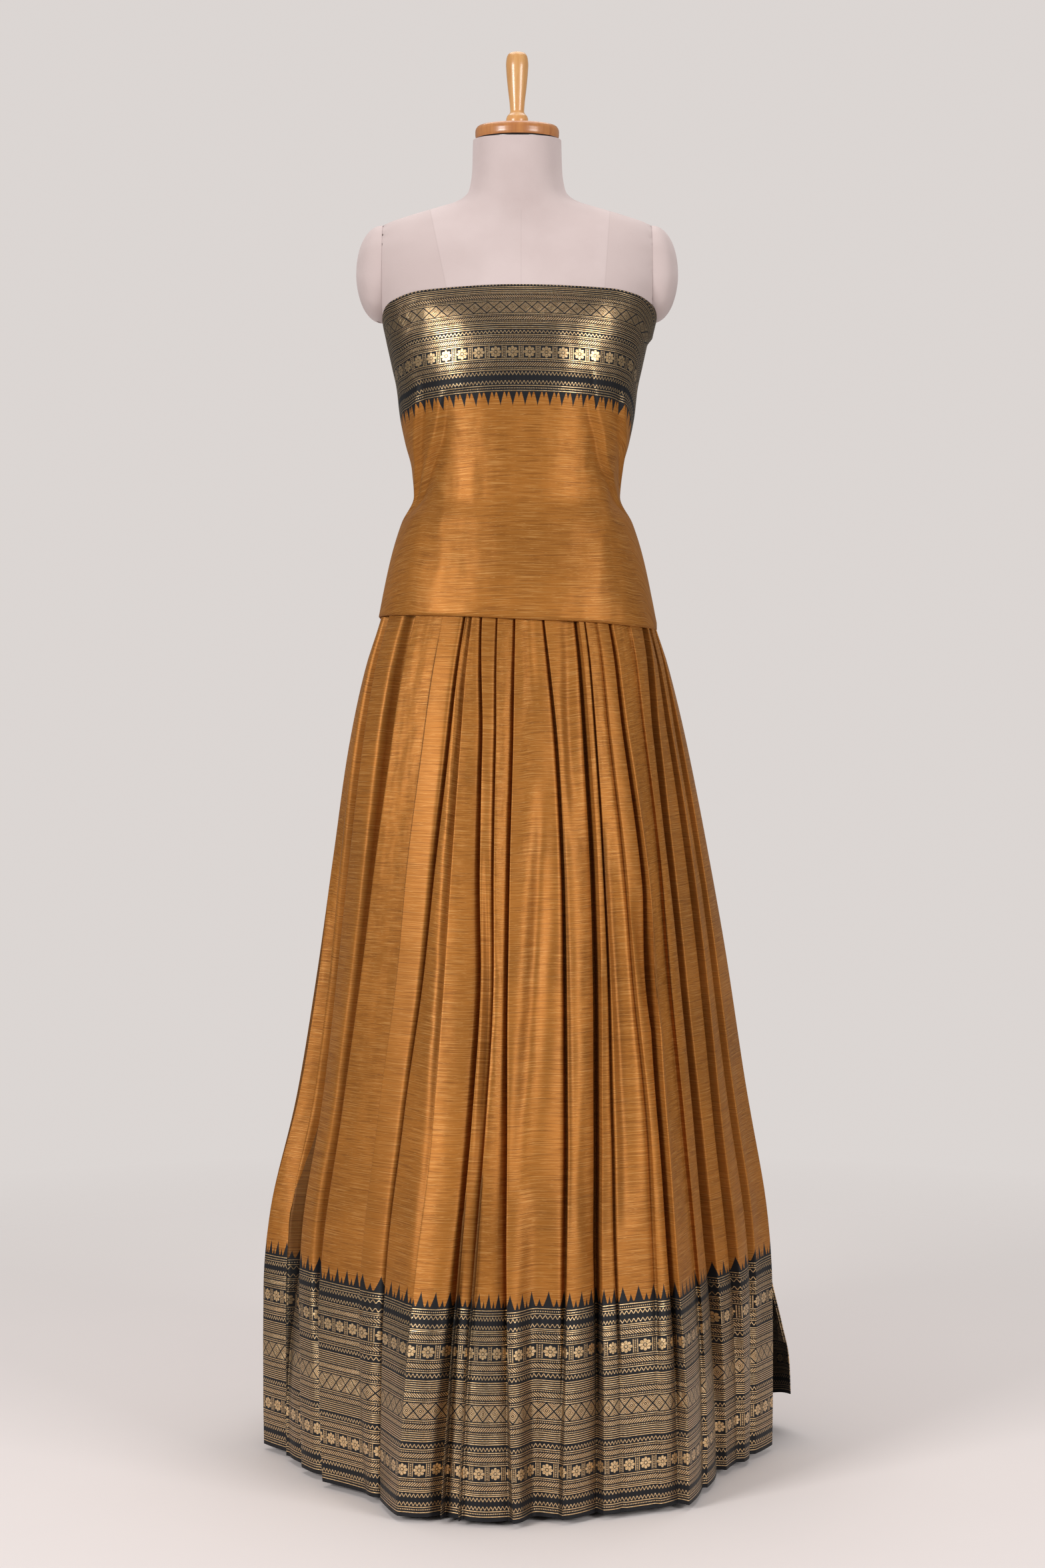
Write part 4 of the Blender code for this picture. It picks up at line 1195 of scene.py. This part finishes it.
def close_up(padded):
    """Joins a grid's ends and shuts its open rims, so that it is one closed body."""
    bpy.ops.object.select_all(action="DESELECT")
    bpy.context.view_layer.objects.active = padded
    padded.select_set(True)
    bpy.ops.object.mode_set(mode="EDIT")
    bpy.ops.mesh.select_all(action="SELECT")
    bpy.ops.mesh.remove_doubles(threshold=WELD_DISTANCE)
    bpy.ops.mesh.select_all(action="DESELECT")
    bpy.ops.mesh.select_non_manifold()
    bpy.ops.mesh.edge_face_add()
    bpy.ops.mesh.select_all(action="SELECT")
    bpy.ops.mesh.normals_make_consistent(inside=False)
    bpy.ops.object.mode_set(mode="OBJECT")
    bpy.ops.object.shade_smooth_by_angle(angle=SHARP_PAD_EDGE)


def cut_depth(height, in_front):
    """How far ahead or back the torso reaches where the shoulder plane cuts it."""
    share = SHOULDER_PLANE / at(TORSO, "half_width", height)
    part = np.clip(1 - share**SQUARENESS, 0, 1) ** (1 / SQUARENESS)
    return np.where(in_front, -part * at(TORSO, "front", height), part * at(TORSO, "back", height))


def padded_torso():
    """The torso and neck as closed rings, flat at the shoulders and shut at both ends."""
    levels = np.concatenate([np.arange(*run) for run in TORSO_LEVELS] + [[TORSO_TOP]])
    angles = np.arange(0, 361, TORSO_COLUMN)
    height = np.broadcast_to(levels[:, None], (len(levels), len(angles)))
    angle = np.broadcast_to(angles, height.shape)
    points = around(reach(TORSO, height, angle), angle, height)
    beyond = np.abs(points[..., 0]) > SHOULDER_PLANE
    rim = beyond & ~(np.roll(beyond, 1, axis=1) & np.roll(beyond, -1, axis=1))
    points[..., 1] = np.where(rim, cut_depth(height, points[..., 1] < 0), points[..., 1])
    points[..., 0] = np.clip(points[..., 0], -SHOULDER_PLANE, SHOULDER_PLANE)
    measure = lengths_between(points, 1)
    torso = cloth_from_grid("torso_cover", points, measure, height.copy(), [velvet])
    close_up(torso)
    return torso


torso = padded_torso()


# %% Shoulder ends
SHOULDER_OUT = 0.0300
SHOULDER_MIDDLE = 1.3192
SHOULDER_HALF = 0.0546
SHOULDER_ROUNDNESS = 2.1
PAD_FULLNESS = 3.0
PAD_COLUMNS = 97
PAD_ROWS = 26
PAD_GAP = 0.0001


def shoulder_outline(steps):
    """The torso's own cut at the shoulder plane, as a ring of distances back and up."""
    turn = np.linspace(0, 2 * math.pi, steps)
    height = SHOULDER_MIDDLE + SHOULDER_HALF * np.cos(turn)
    ahead = cut_depth(height, np.sin(turn) < 0)
    ahead[[0, steps // 2, -1]] = 0.0
    return ahead, height


def shoulder_end(name, side):
    """A rounded pad that goes on from the torso's cut and closes further out."""
    ahead, height = shoulder_outline(PAD_COLUMNS)
    share = np.sin(np.linspace(0, math.pi / 2, PAD_ROWS))
    scale = (1 - share**SHOULDER_ROUNDNESS) ** (1 / SHOULDER_ROUNDNESS)
    thin = (1 - share**PAD_FULLNESS) ** (1 / PAD_FULLNESS)
    share = np.concatenate([[0.0], share])[:, None]
    scale = np.concatenate([[0.0], scale])[:, None]
    thin = np.concatenate([[0.0], thin])[:, None]
    points = np.empty((len(share), len(ahead), 3))
    points[..., 0] = side * (SHOULDER_PLANE + PAD_GAP + share * SHOULDER_OUT)
    points[..., 1] = ahead * thin
    points[..., 2] = SHOULDER_MIDDLE + (height - SHOULDER_MIDDLE) * scale
    measure = lengths_between(points, 1)
    pad = cloth_from_grid(name, points, measure, points[..., 2].copy(), [velvet])
    close_up(pad)
    return pad


shoulder_left = shoulder_end("shoulder_pad_left", -1)
shoulder_right = shoulder_end("shoulder_pad_right", 1)

# %% [markdown]
# ## Turned wood
# The neck is closed by a wooden cap with a finial, both turned on a lathe and varnished. A disc is
# added, and its top is drawn up and made wider or narrower step by step, as a turner would follow a
# profile. The finial is pale and golden, and the cap redder.

# %% Turned pieces
FINIAL_PROFILE = [
    (0.0106, 1.4858), (0.0121, 1.4885), (0.0123, 1.4930), (0.0112, 1.4970), (0.0086, 1.5000),
    (0.0078, 1.5025), (0.0085, 1.5120), (0.0108, 1.5320), (0.0121, 1.5470), (0.0125, 1.5550),
    (0.0116, 1.5630), (0.0084, 1.5680), (0.0004, 1.5700),
]
CAP_PROFILE = [
    (0.0445, 1.4692), (0.0447, 1.4706), (0.0462, 1.4720), (0.0470, 1.4755), (0.0470, 1.4795),
    (0.0458, 1.4832), (0.0435, 1.4853), (0.0395, 1.4858),
]
SHARP_TURNED_EDGE = math.radians(40)
RING_TOP = 1.4716
RING_BLACK = (0.010, 0.009, 0.009)
GRAIN = {"stretch": (260, 260, 26), "detail": 5.0, "roughness": 0.65}
STREAKS = {"stretch": (60, 60, 7), "offset": (3, 1, 0), "detail": 3.0, "roughness": 0.5, "shows": 0.5}
WOOD_RELIEF = {"strength": 0.2, "distance": 0.0003}
VARNISH = {"Coat Weight": 0.35, "Coat Roughness": 0.12}
PALE_WOOD = ((0.74, 0.42, 0.17), (0.60, 0.29, 0.095), (0.46, 0.19, 0.055))
RED_WOOD = ((0.57, 0.245, 0.082), (0.44, 0.165, 0.050), (0.31, 0.100, 0.031))


def turned(name, profile, material, sides=72, steps=6):
    """A solid turned round the Z axis, drawn up from a disc along a profile of radii and heights."""
    levels = np.array([height for _, height in profile])
    radii = np.array([radius for radius, _ in profile])
    fine = np.linspace(0, len(profile) - 1, (len(profile) - 1) * steps + 1)
    radius = curve(np.arange(len(profile)), radii, fine)
    height = curve(np.arange(len(profile)), levels, fine)
    bpy.ops.object.select_all(action="DESELECT")
    bpy.ops.mesh.primitive_circle_add(
        vertices=sides, radius=radius[0], fill_type="NGON", location=(0, 0, height[0])
    )
    piece = bpy.context.object
    piece.name = name
    bpy.ops.object.transform_apply(location=True, rotation=True, scale=True)
    bpy.ops.object.mode_set(mode="EDIT")
    bpy.ops.mesh.select_all(action="SELECT")
    for i in range(1, len(fine)):
        rise = float(height[i] - height[i - 1])
        bpy.ops.mesh.extrude_region_move(TRANSFORM_OT_translate={"value": (0, 0, rise)})
        grow = float(radius[i] / radius[i - 1])
        bpy.ops.transform.resize(value=(grow, grow, 1), center_override=(0, 0, float(height[i])))
    bpy.ops.mesh.select_all(action="SELECT")
    bpy.ops.mesh.normals_make_consistent(inside=False)
    bpy.ops.object.mode_set(mode="OBJECT")
    bpy.ops.object.shade_smooth_by_angle(angle=SHARP_TURNED_EDGE)
    piece.data.materials.append(material)
    print(name, "has", len(piece.data.polygons), "faces")
    return piece


def wood_material(name, pale, dark, streak):
    """Varnished wood with its grain along the lathe's axis."""
    material, tree, shader = new_material(name)
    place = on_object(tree)
    grain = stretched(tree, place, GRAIN["stretch"])
    grain = noise(tree, grain, 1.0, GRAIN["detail"], GRAIN["roughness"])
    broad = stretched(tree, place, STREAKS["stretch"], STREAKS["offset"])
    broad = noise(tree, broad, 1.0, STREAKS["detail"], STREAKS["roughness"])
    colour = mixed(tree, spread(tree, grain, 0.35, 0.68), pale, dark)
    streaks = calc(tree, "MULTIPLY", spread(tree, broad, 0.4, 0.7), STREAKS["shows"])
    colour = mixed(tree, streaks, colour, streak)
    ring = calc(tree, "LESS_THAN", split(tree, place)["Z"], RING_TOP)
    tree.links.new(mixed(tree, ring, colour, RING_BLACK), shader.inputs["Base Color"])
    tree.links.new(spread(tree, grain, 0.3, 0.7, 0.26, 0.36), shader.inputs["Roughness"])
    raise_surface(tree, shader, grain, **WOOD_RELIEF)
    set_surface(shader, VARNISH)
    return material


pale_wood = wood_material("golden_wood", *PALE_WOOD)
red_wood = wood_material("red_wood", *RED_WOOD)
finial = turned("finial_turned", FINIAL_PROFILE, pale_wood)
neck_cap = turned("neck_cap_turned", CAP_PROFILE, red_wood)

# %% [markdown]
# ## The stand
# The pole and the round base are hidden under the skirt. Their plain solids have the right shape,
# so they stay, with a satin paint over metal.

# %% Stand paint
PAINT = ((0.040, 0.040, 0.043), (0.060, 0.060, 0.063))
PAINT_PATCHES = 40.0
PAINT_PEEL = 700.0
PAINT_RELIEF = {"strength": 0.15, "distance": 0.0002}


def paint_material():
    """Dark satin paint with a faint orange-peel surface."""
    material, tree, shader = new_material("stand_paint")
    place = on_object(tree)
    patches = noise(tree, place, PAINT_PATCHES, 3.0, 0.5)
    peel = noise(tree, place, PAINT_PEEL, 2.0, 0.5)
    colour = mixed(tree, spread(tree, patches, 0.35, 0.65), *PAINT)
    tree.links.new(colour, shader.inputs["Base Color"])
    tree.links.new(spread(tree, patches, 0.3, 0.7, 0.36, 0.48), shader.inputs["Roughness"])
    raise_surface(tree, shader, peel, **PAINT_RELIEF)
    return material


stand_paint = paint_material()
for node in ("form_base", "form_pole"):
    part = bpy.data.objects[node]
    part.data.materials.clear()
    part.data.materials.append(stand_paint)
    print(node, "is painted")

# %% [markdown]
# ## Floor and light
# A plain pale floor and a pale room. Two large soft lights stand at the sides, the left one a
# little stronger, so that each pleat has a lit face and a dark one, and a third hangs overhead.

# %% Floor
FLOOR = ((0.810, 0.735, 0.715), (0.840, 0.765, 0.740))
FLOOR_RADIUS = 2.0
FLOOR_FADES = (0.45, 1.9)
FLOOR_MOTTLE = 3.0


def floor_material():
    """A pale floor that fades into the room's colour further off."""
    material, tree, shader = new_material("pale_floor")
    place = on_object(tree)
    far = tree.nodes.new("ShaderNodeVectorMath")
    far.operation = "LENGTH"
    tree.links.new(place, far.inputs[0])
    fade = spread(tree, far.outputs["Value"], *FLOOR_FADES, 1.0, 0.0)
    mottle = noise(tree, place, FLOOR_MOTTLE, 3.0, 0.5)
    colour = mixed(tree, mottle, *FLOOR)
    tree.links.new(colour, shader.inputs["Base Color"])
    tree.links.new(fade, shader.inputs["Alpha"])
    shader.inputs["Roughness"].default_value = 0.75
    return material


bpy.ops.object.select_all(action="DESELECT")
bpy.ops.mesh.primitive_circle_add(vertices=96, radius=FLOOR_RADIUS, fill_type="NGON", location=(0, 0, 0))
floor = bpy.context.object
floor.name = "floor"
floor.data.materials.append(floor_material())
print("floor is", 2 * FLOOR_RADIUS, "m across")


# %% Light
SEEN_ROOM = (0.712, 0.670, 0.650, 1.0)
ROOM_LIGHT = (0.960, 0.950, 0.940, 1.0)
ROOM_STRENGTH = 0.20


def soft_light(name, place, aim, size, power):
    """A square soft box that points at a place."""
    data = bpy.data.lights.new(name, "AREA")
    data.size = size
    data.energy = power
    lamp = bpy.data.objects.new(name, data)
    way = np.array(aim) - np.array(place)
    flat = math.hypot(way[0], way[1])
    lamp.location = place
    lamp.rotation_euler = (math.atan2(flat, -way[2]), 0, math.atan2(-way[0], way[1]))
    bpy.context.scene.collection.objects.link(lamp)
    print(name, "stands at", place)


soft_light("key_light", (-2.35, -2.50, 1.5), (0, 0, 0.80), 1.1, 88)
soft_light("fill_light", (2.35, -2.35, 1.35), (0, 0, 0.8), 1.3, 62)
soft_light("overhead_light", (0.0, 0.6, 3.2), (0, 0.1, 0.0), 2.6, 58)

world = bpy.data.worlds.new("pale_room")
world.use_nodes = True
room = world.node_tree
seen = room.nodes["Background"]
seen.inputs["Color"].default_value = SEEN_ROOM
seen.inputs["Strength"].default_value = 1.0
lit = room.nodes.new("ShaderNodeBackground")
lit.inputs["Color"].default_value = ROOM_LIGHT
lit.inputs["Strength"].default_value = ROOM_STRENGTH
chooser = room.nodes.new("ShaderNodeMixShader")
room.links.new(room.nodes.new("ShaderNodeLightPath").outputs["Is Camera Ray"], chooser.inputs[0])
room.links.new(lit.outputs[0], chooser.inputs[1])
room.links.new(seen.outputs[0], chooser.inputs[2])
room.links.new(chooser.outputs[0], room.nodes["World Output"].inputs[0])
bpy.context.scene.world = world

# %% [markdown]
# ## The pieces and their solids
# Each piece rides on the model's one body and stands for its solid.

# %% Pieces and their solids
for piece, nodes, slot in (
    (skirt_front, ["skirt_front"], "ochre_silk"),
    (skirt_back, ["skirt_back"], "ochre_silk"),
    (skirt_corner, ["skirt_edge_fold"], "ochre_silk"),
    (wrap_front, ["wrap_front"], "ochre_silk"),
    (wrap_back, ["wrap_back"], "ochre_silk"),
    (torso, ["form_torso"], "form_cover"),
    (shoulder_left, ["form_shoulder_left"], "form_cover"),
    (shoulder_right, ["form_shoulder_right"], "form_cover"),
    (finial, ["form_finial"], "varnished_wood"),
    (neck_cap, ["form_neck_cap"], "varnished_wood"),
):
    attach(piece, "root")
    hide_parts(*nodes)
